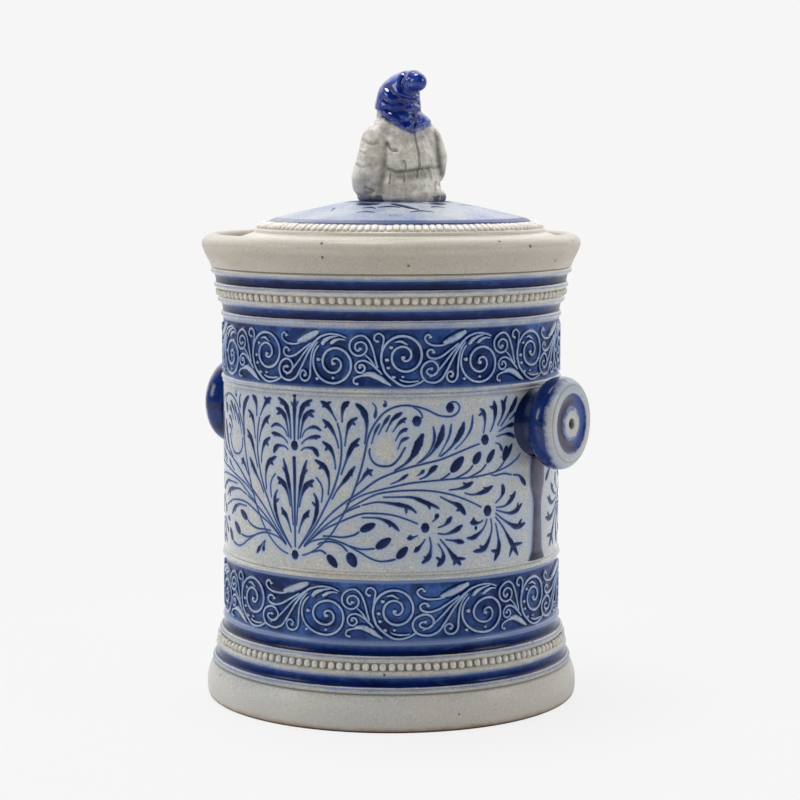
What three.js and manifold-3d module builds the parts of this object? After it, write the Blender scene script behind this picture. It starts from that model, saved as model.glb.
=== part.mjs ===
// A salt-glazed stoneware tobacco jar: a thrown pot with a gallery inside its rim, a loose lid whose
// collar drops into the mouth, a seated figure luted on the lid as its knob, and two spool handles
// luted on the wall. Millimetres, +Z up, the origin on the jar's axis at the plane it stands on.
// The handles lie along X, and the middle of the decorated panel faces -Y.
import * as THREE from "three";
import { mergeVertices } from "three/addons/utils/BufferGeometryUtils.js";
import Module from "manifold-3d";

const wasm = await Module();
wasm.setup();

// Jar: radii
const BODY_RADIUS = 56.5; // plain wall at the panel and friezes
const WALL = 6;
const FOOT_FLARE = 4.2; // how far the end bands swing out from the wall down to the foot
const RIM_FLARE = 3.9; // and from the wall up to the rim
const FOOT_BULGE = 2; // the foot's round side beyond the flare
const RIM_BULGE = 3.0; // the lip's widest round beyond the flare
const LIP_THICKNESS = 5.7; // from the gallery's wall to the lip's widest round
const LIP_ROUND_START = 30; // degrees above level, where the lip's round top leaves its sides
const LEDGE_WIDTH = 9.7; // of the ledge that carries the lid, from the gallery's wall to the mouth

// Jar: heights, from the foot up
const FOOT_HEIGHT = 12;
const GROOVE_HEIGHT = 0.45;
const RIDGE_HEIGHT = 1.7;
const STRIPE_HEIGHT = 3.2;
const BEAD_BAND_HEIGHT = 3;
const FRIEZE_HEIGHT = 19.2;
const MOULDING_HEIGHT = 2.9;
const PANEL_HEIGHT = 55.6;
const RIM_HEIGHT = 10.9;
const FLOOR_THICKNESS = 7;
const GALLERY_DEPTH = 5; // from the lip's top down to the ledge
const LEDGE_THICKNESS = 4;
const LEDGE_SLOPE_HEIGHT = 4; // the ledge's underside runs back to the wall over this height
const BASE_RECESS_RADIUS = 50; // the base is hollowed inside its standing ring
const BASE_RECESS_DEPTH = 1.2;

// Jar: relief of the turned bands, measured from the wall
const GROOVE_DEPTH = 0.5;
const RIDGE_RELIEF = 0.3;
const STRIPE_DEPTH = 0.55;
const BEAD_RECESS = 0.35;
const BEAD_RELIEF = 0.55;
const MOULDING_RELIEF = 0.7;
const FLOOR_FILLET = 5;

// Lid
const SLIP_FILM = 0.3; // the film between two luted or seated pieces
const LID_PLAY = 3.2; // radial play of the collar in the mouth
const LID_TURN = 54; // degrees, how far the lid is turned in its seat
const LID_LEAN_TURN = 33; // degrees from +X, the way the lid lies over in its seat
const LID_EDGE_CLEARANCE = 0.4; // left at the gallery's wall when the collar touches the mouth
const COLLAR_DEPTH = 5;
const COLLAR_WALL = 3.8;
const LID_EDGE_HEIGHT = 3.4;
const LID_BRIM_WIDTH = 5.4; // sloping brim outside the upright band
const LID_BRIM_RISE = 1.6;
const LID_BAND_HEIGHT = 1.6; // upright band under the beads
const LID_BEAD_WIDTH = 3.2;
const LID_BEAD_HEIGHT = 2;
const LID_CONE_RISE = 7.4; // from the beads up to the seat of the figure
const LID_THICKNESS = 5.6;

// Spool handles
const HANDLE_DROP = 10.6; // of the handle's axis below the panel's top
const NECK_LENGTH = 4.1; // from the wall to the disc's back
const DISC_RADIUS = 15.1;
const DISC_THICKNESS = 8.8;
const DISC_FACE_RADIUS = 12.2;
const DISC_EDGE_SWEEP = 60; // degrees of the round edge either side of its middle
const RING_OUTER_RADIUS = 9.2; // sunk ring turned in the disc's face
const RING_INNER_RADIUS = 4.9;
const RING_DEPTH = 0.6;
const VENT_RADIUS = 1.7; // firing vent in the middle of the face
const VENT_DEPTH = 6;
const NECK_ROOT_RADIUS = 11.6;
const NECK_WAIST_RADIUS = 10;

// Figure, in its own frame: facing +Y, standing on z = 0
const SEAT_RADIUS = 15.6; // flat boss of the lid under the figure
const HEM_HALF_WIDTH = 14.6;
const BELT_HEIGHT = 9;
const BELT_HALF_WIDTH = 12.6;
const CHEST_HALF_WIDTH = 12.6;
const SHOULDER_HALF_WIDTH = 10;
const SHOULDER_HEIGHT = 22;
const NECK_HALF_WIDTH = 6;
const NECK_RISE = 4; // of the torso's top above the shoulders
const TORSO_DEPTH_SHARE = 0.86; // depth of the torso to its width
const ARM_RADIUS = 4.7;
const ARM_ROOT_HALF_SPAN = 8.2;
const ARM_ROOT_DROP = 0.5; // of the arms' roots below the shoulders
const ELBOW_HALF_SPAN = 11.8;
const ELBOW_HEIGHT = 8.6;
const ELBOW_SETBACK = 1.2; // of the elbows behind the shoulders
const HAND_RADIUS = 3;
const KNEE_RADIUS = 4.2;
const KNEE_HALF_SPAN = 6.2;
const KNEE_REACH = 11;
const SHOE_LENGTH = 9;
const SHOE_HEIGHT = 4.6;
const SHOE_WIDTH = 6.4;
const HEAD_RADIUS = 6.7;
const HEAD_RISE = 8; // of the head's middle above the shoulders
const HEAD_LEAD = 0.6; // of the head's middle in front of the spine
const HOOD_WALL = 1.7;
const HOOD_BEND_RISE = 13.2; // of the hood's bend above the shoulders
const HOOD_BEND_RADIUS = 6.7;
const HOOD_TIP_RADIUS = 3.5;
const HOOD_TIP_RISE = 16.9; // of the tip's middle above the shoulders
const HOOD_TIP_FALL = 6.4; // the tip's droop to the back
const HOOD_TIP_SWAY = 1.6; // and to the side
const CAPE_RADIUS = 9.4;
const CAPE_SETBACK = 1.2; // the cape's hem hangs behind the spine, lowest between the shoulder blades
const CAPE_RISE = 0.6; // of the cape's hem above the shoulders
const BEARD_LENGTH = 11;
const BEARD_WIDTH = 9;
const BEARD_LEAD = 1.2; // of the beard's middle in front of the face
const NOSE_RADIUS = 1.5;

// Facets
const JAR_SIDES = 64;
const SPOOL_SIDES = 32;
const LIMB_SIDES = 14;

// Finishes of the fired pieces
const GREY_STONEWARE = { color: 0xb3b1a8, roughness: 0.55, metalness: 0 };
const COBALT_GLAZE = { color: 0x1d3384, roughness: 0.25, metalness: 0 };
const SLATE_STONEWARE = { color: 0x6f83ad, roughness: 0.4, metalness: 0 };

// Geometry helpers

// A profile of [radius, height] points turned about Z. It runs from the axis or back to its start.
function revolve(profile, sides) {
  const points = profile.map(([radius, height]) => new THREE.Vector2(radius, height));
  return new THREE.LatheGeometry(points, sides).rotateX(Math.PI / 2);
}

// Points on a quarter ellipse from angle start to angle end, in degrees.
function arc(centreRadius, centreHeight, halfWidth, halfHeight, start, end, steps) {
  return Array.from({ length: steps + 1 }, (_, i) => {
    const angle = THREE.MathUtils.degToRad(start + ((end - start) * i) / steps);
    return [centreRadius + halfWidth * Math.cos(angle), centreHeight + halfHeight * Math.sin(angle)];
  });
}

function toSolid(geometry) {
  const bare = geometry.clone();
  bare.deleteAttribute("normal");
  bare.deleteAttribute("uv");
  const merged = mergeVertices(bare, 1e-4);
  const corners = merged.index.array;
  const triangles = [];
  for (let i = 0; i < corners.length; i += 3) {
    const [a, b, c] = corners.slice(i, i + 3);
    if (a !== b && b !== c && c !== a) triangles.push(a, b, c);
  }
  return new wasm.Manifold(
    new wasm.Mesh({
      numProp: 3,
      vertProperties: new Float32Array(merged.attributes.position.array),
      triVerts: new Uint32Array(triangles),
    }),
  );
}

function toGeometry(solid) {
  const { vertProperties, triVerts } = solid.getMesh();
  const geometry = new THREE.BufferGeometry();
  geometry.setAttribute("position", new THREE.BufferAttribute(vertProperties, 3));
  geometry.setIndex(new THREE.BufferAttribute(triVerts, 1));
  geometry.computeVertexNormals();
  return geometry;
}

function join(solids) {
  return solids.reduce((sum, solid) => sum.add(solid));
}

function piece(name, geometry, finish) {
  const mesh = new THREE.Mesh(geometry, new THREE.MeshStandardMaterial(finish));
  mesh.name = name;
  return mesh;
}

// An egg: a sphere with its own half sizes, at a point.
function egg(halfSizes, at) {
  const geometry = new THREE.SphereGeometry(1, LIMB_SIDES, LIMB_SIDES / 2);
  return toSolid(geometry.rotateX(Math.PI / 2).scale(...halfSizes).translate(...at));
}

// A limb: round at both ends, tapering from one radius to the other.
function limb(from, to, fromRadius, toRadius) {
  const start = new THREE.Vector3(...from);
  const run = new THREE.Vector3(...to).sub(start);
  const length = run.length();
  const points = [
    ...arc(0, 0, fromRadius, fromRadius, -90, 0, 3),
    ...arc(0, length, toRadius, toRadius, 0, 90, 3),
  ].map(([radius, height]) => new THREE.Vector2(Math.max(radius, 0), height));
  points[0].x = 0;
  points[points.length - 1].x = 0;
  const turn = new THREE.Quaternion().setFromUnitVectors(new THREE.Vector3(0, 1, 0), run.normalize());
  const geometry = new THREE.LatheGeometry(points, LIMB_SIDES).applyQuaternion(turn);
  return toSolid(geometry.translate(...from));
}

// A round form along a bent spine: each ring is [x, y, z, radius], square to Z.
function stackedRings(rings, sides) {
  const positions = rings.flatMap(([x, y, z, radius]) =>
    Array.from({ length: sides }, (_, i) => {
      const angle = (2 * Math.PI * i) / sides;
      return [x + radius * Math.cos(angle), y + radius * Math.sin(angle), z];
    }).flat(),
  );
  const [first, last] = [rings[0], rings[rings.length - 1]];
  positions.push(first[0], first[1], first[2], last[0], last[1], last[2]);
  const bottom = rings.length * sides;
  const top = bottom + 1;
  const lastRing = (rings.length - 1) * sides;
  const triangles = [];
  for (let i = 0; i < sides; i += 1) {
    const next = (i + 1) % sides;
    triangles.push(bottom, next, i, top, lastRing + i, lastRing + next);
    for (let ring = 0; ring < lastRing; ring += sides) {
      triangles.push(ring + i, ring + next, ring + sides + next);
      triangles.push(ring + i, ring + sides + next, ring + sides + i);
    }
  }
  const geometry = new THREE.BufferGeometry();
  geometry.setAttribute("position", new THREE.Float32BufferAttribute(positions, 3));
  geometry.setIndex(triangles);
  return toSolid(geometry);
}

// Jar body

// The turned bands at each end, from the foot or rim towards the frieze beside the panel.
const END_BANDS = ["groove", "ridge", "stripe", "ridge", "beads", "ridge", "stripe", "ridge"];
const BAND_HEIGHTS = {
  groove: GROOVE_HEIGHT,
  ridge: RIDGE_HEIGHT,
  stripe: STRIPE_HEIGHT,
  beads: BEAD_BAND_HEIGHT,
};
// Each band's section as [share of its height, relief].
const BAND_SECTIONS = {
  groove: [[0.5, -GROOVE_DEPTH]],
  ridge: [
    [0.2, RIDGE_RELIEF],
    [0.8, RIDGE_RELIEF],
  ],
  stripe: [
    [0.1, -0.6 * STRIPE_DEPTH],
    [0.5, -STRIPE_DEPTH],
    [0.9, -0.6 * STRIPE_DEPTH],
  ],
  beads: [
    [0.1, -BEAD_RECESS],
    [0.3, BEAD_RELIEF],
    [0.7, BEAD_RELIEF],
    [0.9, -BEAD_RECESS],
  ],
};
const END_BANDS_HEIGHT = END_BANDS.reduce((sum, band) => sum + BAND_HEIGHTS[band], 0);

const LOWER_FRIEZE_FOOT = FOOT_HEIGHT + END_BANDS_HEIGHT;
const LOWER_MOULDING_FOOT = LOWER_FRIEZE_FOOT + FRIEZE_HEIGHT;
const PANEL_FOOT = LOWER_MOULDING_FOOT + MOULDING_HEIGHT;
const UPPER_MOULDING_FOOT = PANEL_FOOT + PANEL_HEIGHT;
const UPPER_FRIEZE_FOOT = UPPER_MOULDING_FOOT + MOULDING_HEIGHT;
const UPPER_FRIEZE_TOP = UPPER_FRIEZE_FOOT + FRIEZE_HEIGHT;
const RIM_FOOT = UPPER_FRIEZE_TOP + END_BANDS_HEIGHT;
const JAR_HEIGHT = RIM_FOOT + RIM_HEIGHT;
const SEAT_HEIGHT = JAR_HEIGHT - GALLERY_DEPTH;
const LIP_RADIUS = BODY_RADIUS + RIM_FLARE + RIM_BULGE;
const GALLERY_RADIUS = LIP_RADIUS - LIP_THICKNESS;
const MOUTH_RADIUS = GALLERY_RADIUS - LEDGE_WIDTH;

// One end group of bands on the line that flares from the wall to the foot or rim.
function endBandPoints(flare) {
  const points = [];
  let height = 0;
  for (const band of END_BANDS) {
    for (const [share, relief] of BAND_SECTIONS[band]) {
      const along = height + share * BAND_HEIGHTS[band];
      points.push([BODY_RADIUS + flare * (1 - along / END_BANDS_HEIGHT) + relief, along]);
    }
    height += BAND_HEIGHTS[band];
  }
  return points;
}

function mouldingPoints(foot) {
  return [
    [BODY_RADIUS, foot],
    [BODY_RADIUS + MOULDING_RELIEF, foot + 0.3 * MOULDING_HEIGHT],
    [BODY_RADIUS + MOULDING_RELIEF, foot + 0.7 * MOULDING_HEIGHT],
    [BODY_RADIUS, foot + MOULDING_HEIGHT],
  ];
}

// The jar's outside from the standing ring to the lip, as [radius, height].
function outsidePoints() {
  const footRadius = BODY_RADIUS + FOOT_FLARE;
  const rimRadius = BODY_RADIUS + RIM_FLARE;
  const lower = endBandPoints(FOOT_FLARE).map(([radius, along]) => [radius, FOOT_HEIGHT + along]);
  const upper = endBandPoints(RIM_FLARE)
    .reverse()
    .map(([radius, along]) => [radius, RIM_FOOT - along]);
  return [
    [footRadius + 0.55 * FOOT_BULGE, 0],
    [footRadius + 0.9 * FOOT_BULGE, 0.08 * FOOT_HEIGHT],
    [footRadius + FOOT_BULGE, 0.3 * FOOT_HEIGHT],
    [footRadius + 0.85 * FOOT_BULGE, 0.6 * FOOT_HEIGHT],
    [footRadius + 0.3 * FOOT_BULGE, 0.9 * FOOT_HEIGHT],
    [footRadius, FOOT_HEIGHT],
    ...lower,
    ...mouldingPoints(LOWER_MOULDING_FOOT),
    ...mouldingPoints(UPPER_MOULDING_FOOT),
    ...upper,
    [rimRadius, RIM_FOOT],
    [rimRadius + 0.45 * RIM_BULGE, RIM_FOOT + 0.25 * RIM_HEIGHT],
    [LIP_RADIUS, RIM_FOOT + 0.5 * RIM_HEIGHT],
    [LIP_RADIUS, RIM_FOOT + 0.75 * RIM_HEIGHT],
  ];
}

function jarBody() {
  const chamberRadius = BODY_RADIUS - WALL;
  const lipHalf = LIP_THICKNESS / 2;
  const ledgeUnderside = SEAT_HEIGHT - LEDGE_THICKNESS;
  const lipShoulder = RIM_FOOT + 0.75 * RIM_HEIGHT;
  const lipTop = arc(
    LIP_RADIUS - lipHalf,
    lipShoulder,
    lipHalf,
    JAR_HEIGHT - lipShoulder,
    LIP_ROUND_START,
    180 - LIP_ROUND_START,
    4,
  );
  const floorCorner = arc(
    chamberRadius - FLOOR_FILLET,
    FLOOR_THICKNESS + FLOOR_FILLET,
    FLOOR_FILLET,
    FLOOR_FILLET,
    0,
    -90,
    3,
  );
  const profile = [
    [0, BASE_RECESS_DEPTH],
    [BASE_RECESS_RADIUS - BASE_RECESS_DEPTH, BASE_RECESS_DEPTH],
    [BASE_RECESS_RADIUS, 0],
    ...outsidePoints(),
    ...lipTop,
    [GALLERY_RADIUS, SEAT_HEIGHT],
    [MOUTH_RADIUS, SEAT_HEIGHT],
    [MOUTH_RADIUS, ledgeUnderside],
    [chamberRadius, ledgeUnderside - LEDGE_SLOPE_HEIGHT],
    ...floorCorner,
    [0, FLOOR_THICKNESS],
  ];
  return piece("jar_body", revolve(profile, JAR_SIDES), GREY_STONEWARE);
}

// Spool handles, turned about their own Z and then laid along +X

const HANDLE_HEIGHT = UPPER_MOULDING_FOOT - HANDLE_DROP;
const DISC_BACK = BODY_RADIUS + NECK_LENGTH;

function layAlongX(geometry, start) {
  return geometry.rotateY(Math.PI / 2).translate(start, 0, HANDLE_HEIGHT);
}

function handleDisc() {
  const edgeHalf = DISC_THICKNESS / 2;
  const profile = [
    [0, 0],
    [DISC_FACE_RADIUS, 0],
    ...arc(DISC_RADIUS - edgeHalf, edgeHalf, edgeHalf, edgeHalf, -DISC_EDGE_SWEEP, DISC_EDGE_SWEEP, 6),
    [DISC_FACE_RADIUS, DISC_THICKNESS],
    [RING_OUTER_RADIUS, DISC_THICKNESS],
    [RING_OUTER_RADIUS - RING_DEPTH, DISC_THICKNESS - RING_DEPTH],
    [RING_INNER_RADIUS + RING_DEPTH, DISC_THICKNESS - RING_DEPTH],
    [RING_INNER_RADIUS, DISC_THICKNESS],
    [VENT_RADIUS, DISC_THICKNESS],
    [VENT_RADIUS, DISC_THICKNESS - VENT_DEPTH],
    [0, DISC_THICKNESS - VENT_DEPTH],
  ];
  return layAlongX(revolve(profile, SPOOL_SIDES), DISC_BACK);
}

// The neck runs from inside the wall to the disc's back, and is cut to the wall with a film of slip.
function handleNeck() {
  const rootLength = WALL;
  const length = rootLength + NECK_LENGTH - SLIP_FILM;
  const profile = [
    [0, 0],
    [NECK_ROOT_RADIUS, 0],
    [NECK_ROOT_RADIUS, rootLength],
    [NECK_WAIST_RADIUS, rootLength + 0.6 * NECK_LENGTH],
    [NECK_WAIST_RADIUS, length],
    [0, length],
  ];
  const stub = layAlongX(revolve(profile, SPOOL_SIDES), BODY_RADIUS - rootLength);
  const wall = outsidePoints().map(([radius, height]) => [radius + SLIP_FILM, height]);
  const cutter = revolve([[0, wall[0][1]], ...wall, [0, wall[wall.length - 1][1]]], JAR_SIDES);
  return toGeometry(toSolid(stub).subtract(toSolid(cutter)));
}

function handle(side, turn) {
  const group = new THREE.Group();
  group.add(piece(`${side}_handle_neck`, handleNeck(), COBALT_GLAZE));
  group.add(piece(`${side}_handle_disc`, handleDisc(), SLATE_STONEWARE));
  group.rotation.z = turn;
  return group;
}

// Lid, with z = 0 at its seat

const COLLAR_RADIUS = MOUTH_RADIUS - LID_PLAY;
const LID_RADIUS = GALLERY_RADIUS - LID_PLAY - LID_EDGE_CLEARANCE;
const LID_BAND_RADIUS = LID_RADIUS - LID_BRIM_WIDTH;
const LID_BAND_TOP = LID_EDGE_HEIGHT + LID_BRIM_RISE + LID_BAND_HEIGHT;
const LID_CONE_RADIUS = LID_BAND_RADIUS - LID_BEAD_WIDTH;
const LID_CONE_FOOT = LID_BAND_TOP + LID_BEAD_HEIGHT;
const LID_SEAT_OF_FIGURE = LID_CONE_FOOT + LID_CONE_RISE;

function lidPlate() {
  const beadHalf = LID_BEAD_WIDTH / 2;
  const insideRadius = COLLAR_RADIUS - COLLAR_WALL;
  const slope = LID_CONE_RISE / (LID_CONE_RADIUS - SEAT_RADIUS);
  const crownUnderside = LID_SEAT_OF_FIGURE - LID_THICKNESS;
  const shoulderUnderside = crownUnderside - slope * (insideRadius - SEAT_RADIUS);
  const profile = [
    [0, crownUnderside],
    [SEAT_RADIUS, crownUnderside],
    [insideRadius, shoulderUnderside],
    [insideRadius, -COLLAR_DEPTH],
    [COLLAR_RADIUS, -COLLAR_DEPTH],
    [COLLAR_RADIUS, 0],
    [LID_RADIUS, 0],
    [LID_RADIUS, LID_EDGE_HEIGHT],
    [LID_BAND_RADIUS, LID_EDGE_HEIGHT + LID_BRIM_RISE],
    [LID_BAND_RADIUS, LID_BAND_TOP],
    ...arc(LID_BAND_RADIUS - beadHalf, LID_BAND_TOP, beadHalf, LID_BEAD_HEIGHT, 10, 100, 3),
    [LID_CONE_RADIUS, LID_CONE_FOOT],
    [SEAT_RADIUS, LID_SEAT_OF_FIGURE],
    [0, LID_SEAT_OF_FIGURE],
  ];
  return piece("lid", revolve(profile, JAR_SIDES), GREY_STONEWARE);
}

// Seated figure

// One arm and one leg. Side is -1 or 1, and grown gives every form that much more radius.
function figureLimbs(side, grown) {
  const shoulder = [side * ARM_ROOT_HALF_SPAN, 0, SHOULDER_HEIGHT - ARM_ROOT_DROP];
  const elbow = [side * ELBOW_HALF_SPAN, -ELBOW_SETBACK, ELBOW_HEIGHT];
  const knee = [side * KNEE_HALF_SPAN, KNEE_REACH, KNEE_RADIUS + 0.2 * SHOE_HEIGHT];
  const hand = [knee[0], knee[1] - HAND_RADIUS, knee[2] + KNEE_RADIUS];
  const hip = [0.8 * knee[0], 0, knee[2]];
  const shoe = [knee[0], knee[1] + 0.3 * SHOE_LENGTH, SHOE_HEIGHT / 2];
  const ankle = [knee[0], knee[1] + 0.1 * SHOE_LENGTH, SHOE_HEIGHT / 2];
  const shoeHalf = [SHOE_WIDTH, SHOE_LENGTH, SHOE_HEIGHT].map((size) => size / 2 + grown);
  return [
    limb(shoulder, elbow, ARM_RADIUS + grown, ARM_RADIUS + grown),
    limb(elbow, hand, ARM_RADIUS + grown, HAND_RADIUS + grown),
    limb(hip, knee, KNEE_RADIUS + grown, KNEE_RADIUS + grown),
    limb(knee, ankle, KNEE_RADIUS + grown, SHOE_HEIGHT / 2 + grown),
    egg(shoeHalf, shoe),
  ];
}

function figureBodySolid(grown) {
  const profile = [
    [0, 0],
    [HEM_HALF_WIDTH + grown, 0],
    [HEM_HALF_WIDTH + grown, 0.35 * BELT_HEIGHT],
    [BELT_HALF_WIDTH + grown, BELT_HEIGHT],
    [CHEST_HALF_WIDTH + grown, (BELT_HEIGHT + SHOULDER_HEIGHT) / 2],
    [SHOULDER_HALF_WIDTH + grown, SHOULDER_HEIGHT],
    [NECK_HALF_WIDTH + grown, SHOULDER_HEIGHT + NECK_RISE + grown],
    [0, SHOULDER_HEIGHT + NECK_RISE + grown],
  ];
  const torso = revolve(profile, 2 * LIMB_SIDES).scale(1, TORSO_DEPTH_SHARE, 1);
  return join([toSolid(torso), ...figureLimbs(-1, grown), ...figureLimbs(1, grown)]);
}

// The flat underside that is luted to the lid: everything below z = 0 is cut away.
function cutFlat(solid) {
  const reach = 2 * (HEM_HALF_WIDTH + KNEE_REACH + SHOE_LENGTH);
  const below = new THREE.BoxGeometry(reach, reach, reach).translate(0, 0, -reach / 2);
  return solid.subtract(toSolid(below));
}

// The hood over the head, its bent tip, and its short cape.
function hoodSolid(head) {
  const hoodRadius = HEAD_RADIUS + HOOD_WALL;
  const tip = [HOOD_TIP_SWAY, -HOOD_TIP_FALL, SHOULDER_HEIGHT + HOOD_TIP_RISE];
  const bend = [0.2 * tip[0], 0.2 * tip[1], SHOULDER_HEIGHT + HOOD_BEND_RISE];
  const cone = stackedRings(
    [
      [0, -CAPE_SETBACK, SHOULDER_HEIGHT + CAPE_RISE, CAPE_RADIUS],
      [0, -0.5 * CAPE_SETBACK, SHOULDER_HEIGHT + 0.4 * HEAD_RISE, (CAPE_RADIUS + hoodRadius) / 2],
      [0, head[1], SHOULDER_HEIGHT + 0.7 * HEAD_RISE, hoodRadius],
      [0, head[1], head[2] + 0.2 * HEAD_RADIUS, hoodRadius],
      [0, 0, head[2] + 0.7 * HEAD_RADIUS, 0.86 * hoodRadius],
      [...bend, HOOD_BEND_RADIUS],
    ],
    2 * LIMB_SIDES,
  );
  return cone.add(limb(bend, tip, HOOD_BEND_RADIUS, HOOD_TIP_RADIUS));
}

// Head, beard and hood, hollowed underneath to sit on the shoulders with a film of slip.
function figureHeadSolid() {
  const head = [0, HEAD_LEAD, SHOULDER_HEIGHT + HEAD_RISE];
  const faceFront = HEAD_LEAD + HEAD_RADIUS;
  const opening = egg(
    [0.82 * HEAD_RADIUS, HEAD_RADIUS, 1.05 * HEAD_RADIUS],
    [0, faceFront + 0.55 * HEAD_RADIUS, head[2]],
  );
  const skull = egg([HEAD_RADIUS, HEAD_RADIUS, 1.08 * HEAD_RADIUS], head);
  const noseHeight = head[2] - 0.15 * HEAD_RADIUS;
  const nose = egg([NOSE_RADIUS, NOSE_RADIUS, 1.2 * NOSE_RADIUS], [0, faceFront, noseHeight]);
  const beard = egg(
    [BEARD_WIDTH / 2, BEARD_WIDTH / 3, BEARD_LENGTH / 2],
    [0, faceFront + BEARD_LEAD, noseHeight - BEARD_LENGTH / 2],
  );
  const face = join([skull, nose, beard]);
  return hoodSolid(head).subtract(opening).add(face).subtract(figureBodySolid(SLIP_FILM));
}

function figure() {
  const group = new THREE.Group();
  group.add(piece("figure_body", toGeometry(cutFlat(figureBodySolid(0))), GREY_STONEWARE));
  group.add(piece("figure_head", toGeometry(figureHeadSolid()), COBALT_GLAZE));
  group.position.z = LID_SEAT_OF_FIGURE + SLIP_FILM;
  return group;
}

// Assembly

// The lid lies over to the right as far as its collar lets it, as it was put down.
function lid() {
  const group = new THREE.Group();
  group.add(lidPlate(), figure());
  const lean = LID_PLAY - SLIP_FILM;
  const across = THREE.MathUtils.degToRad(LID_LEAN_TURN);
  group.position.set(lean * Math.cos(across), lean * Math.sin(across), SEAT_HEIGHT + SLIP_FILM);
  group.rotation.z = THREE.MathUtils.degToRad(LID_TURN);
  return group;
}

const jar = new THREE.Group();
jar.add(jarBody(), handle("right", 0), handle("left", Math.PI), lid());

export default jar;
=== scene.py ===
"""A tobacco jar in salt-glazed stoneware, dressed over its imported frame.

A turned jar with cobalt bands and bead rows, two moulded friezes of scrolls, an incised spray on
each panel, two spool handles, and a loose lid with a seated, hooded figure for a knob.
Shapes are written in millimetres, and each finished mesh is in metres in the frame's own axes.
"""
import math
from contextlib import contextmanager

import bpy
import numpy as np
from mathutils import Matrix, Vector


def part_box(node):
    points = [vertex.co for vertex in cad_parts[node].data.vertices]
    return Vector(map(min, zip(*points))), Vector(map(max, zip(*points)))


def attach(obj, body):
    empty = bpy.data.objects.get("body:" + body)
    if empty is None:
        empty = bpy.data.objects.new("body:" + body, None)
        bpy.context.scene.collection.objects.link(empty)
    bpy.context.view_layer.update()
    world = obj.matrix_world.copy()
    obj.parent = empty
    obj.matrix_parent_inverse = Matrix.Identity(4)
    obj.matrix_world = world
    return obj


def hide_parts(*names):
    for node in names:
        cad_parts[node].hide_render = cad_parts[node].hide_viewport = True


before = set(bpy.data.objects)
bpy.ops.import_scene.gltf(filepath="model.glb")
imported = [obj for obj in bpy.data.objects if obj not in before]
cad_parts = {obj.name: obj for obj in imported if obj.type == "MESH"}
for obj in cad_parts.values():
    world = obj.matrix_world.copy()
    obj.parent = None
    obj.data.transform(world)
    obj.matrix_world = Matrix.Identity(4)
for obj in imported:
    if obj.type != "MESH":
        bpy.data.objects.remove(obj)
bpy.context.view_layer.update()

bl_info = {
    "name": "Stoneware Tobacco Jar",
    "version": (1, 0, 0),
    "blender": (4, 5, 0),
    "location": "View3D > Sidebar > Tobacco Jar",
    "description": "Models a salt-glazed tobacco jar with cobalt decoration and a figure on its lid",
    "category": "Object",
}

MM = 0.001


def corner(node, end, axis):
    """One end of a frame node's box along one axis, in millimetres."""
    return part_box(node)[end][axis] / MM


# The jar's turned outline
JAR_HEIGHT = corner("jar_body", 1, 2)
LIP_RADIUS = corner("jar_body", 1, 0)
WALL_RADIUS = 56.5
CHAMBER_RADIUS = 50.5
FLOOR_HEIGHT = 7.0
FLOOR_FILLET = 5.0
GALLERY_RADIUS = 57.7
SEAT_HEIGHT = 151.0
MOUTH_RADIUS = 48.0
LEDGE_UNDERSIDE = 147.0
LEDGE_ROOT = 143.0
RECESS_RADIUS = 50.0
RECESS_DEPTH = 1.2
FOOT_HEIGHT = 12.0
FOOT_RADIUS = 60.7
RIM_RADIUS = 60.4
RIM_FOOT = 145.1
FRIEZE_HEIGHT = 19.2
LOWER_FRIEZE_FOOT = 28.65
UPPER_FRIEZE_FOOT = 109.25
MOULDING_HEIGHT = 2.9
MOULDING_RELIEF = 0.7
PANEL_FOOT = 50.75
PANEL_TOP = 106.35
# Bands from the foot, or from the rim, towards the nearest frieze
END_BANDS = ("groove", "ridge", "stripe", "ridge", "beads", "ridge", "stripe", "ridge")
BAND_HEIGHTS = {"groove": 0.45, "ridge": 1.7, "stripe": 3.2, "beads": 3.0}
BAND_RELIEFS = {"groove": -0.35, "ridge": 0.42, "stripe": -0.6, "beads": -0.35}
BAND_EDGES = {"groove": 1.0, "ridge": 3.0, "stripe": 6.0, "beads": 9.0}
BAND_STEPS = {"groove": 2, "ridge": 6, "stripe": 8, "beads": 6}

# Handles, along X
HANDLE_HEIGHT = (corner("right_handle_disc", 0, 2) + corner("right_handle_disc", 1, 2)) / 2
DISC_BACK = corner("right_handle_disc", 0, 0)
DISC_FACE = corner("right_handle_disc", 1, 0)

# Lid, on its own axis, with heights above its seat
LID_AXIS = [(corner("lid", 0, axis) + corner("lid", 1, axis)) / 2 for axis in (0, 1)]
LID_RADIUS = (corner("lid", 1, 0) - corner("lid", 0, 0)) / 2
LID_COLLAR_DEPTH = 5.0
LID_EDGE_WIDTH = 5.4
LID_BED_WIDTH = 5.2
LID_SEAT = corner("lid", 0, 2) + LID_COLLAR_DEPTH
LID_BAND_RADIUS = LID_RADIUS - LID_EDGE_WIDTH
LID_CONE_RADIUS = LID_BAND_RADIUS - LID_BED_WIDTH
LID_CONE_FOOT = 9.0
LID_BOSS_RADIUS = 15.6
LID_BOSS_HEIGHT = corner("lid", 1, 2) - LID_SEAT

# Figure, in its own frame: facing +Y, its base at z = 0
FIGURE_BASE = corner("figure_body", 0, 2)
FIGURE_TURN = math.radians(54)
# The way its back is seen in the photograph's view, in its own frame
BACK_RIGHT = np.array((0.934, -0.358, 0.0))
BACK_TOWARDS = np.array((-0.358, -0.934, 0.0))
# Heights drawn on its back were read a little large
BACK_RISE = 0.965

# Edges that turn by more than these stay sharp, in degrees
TURNED_ANGLE = 38
RELIEF_ANGLE = 60
FIGURE_ANGLE = 75

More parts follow.
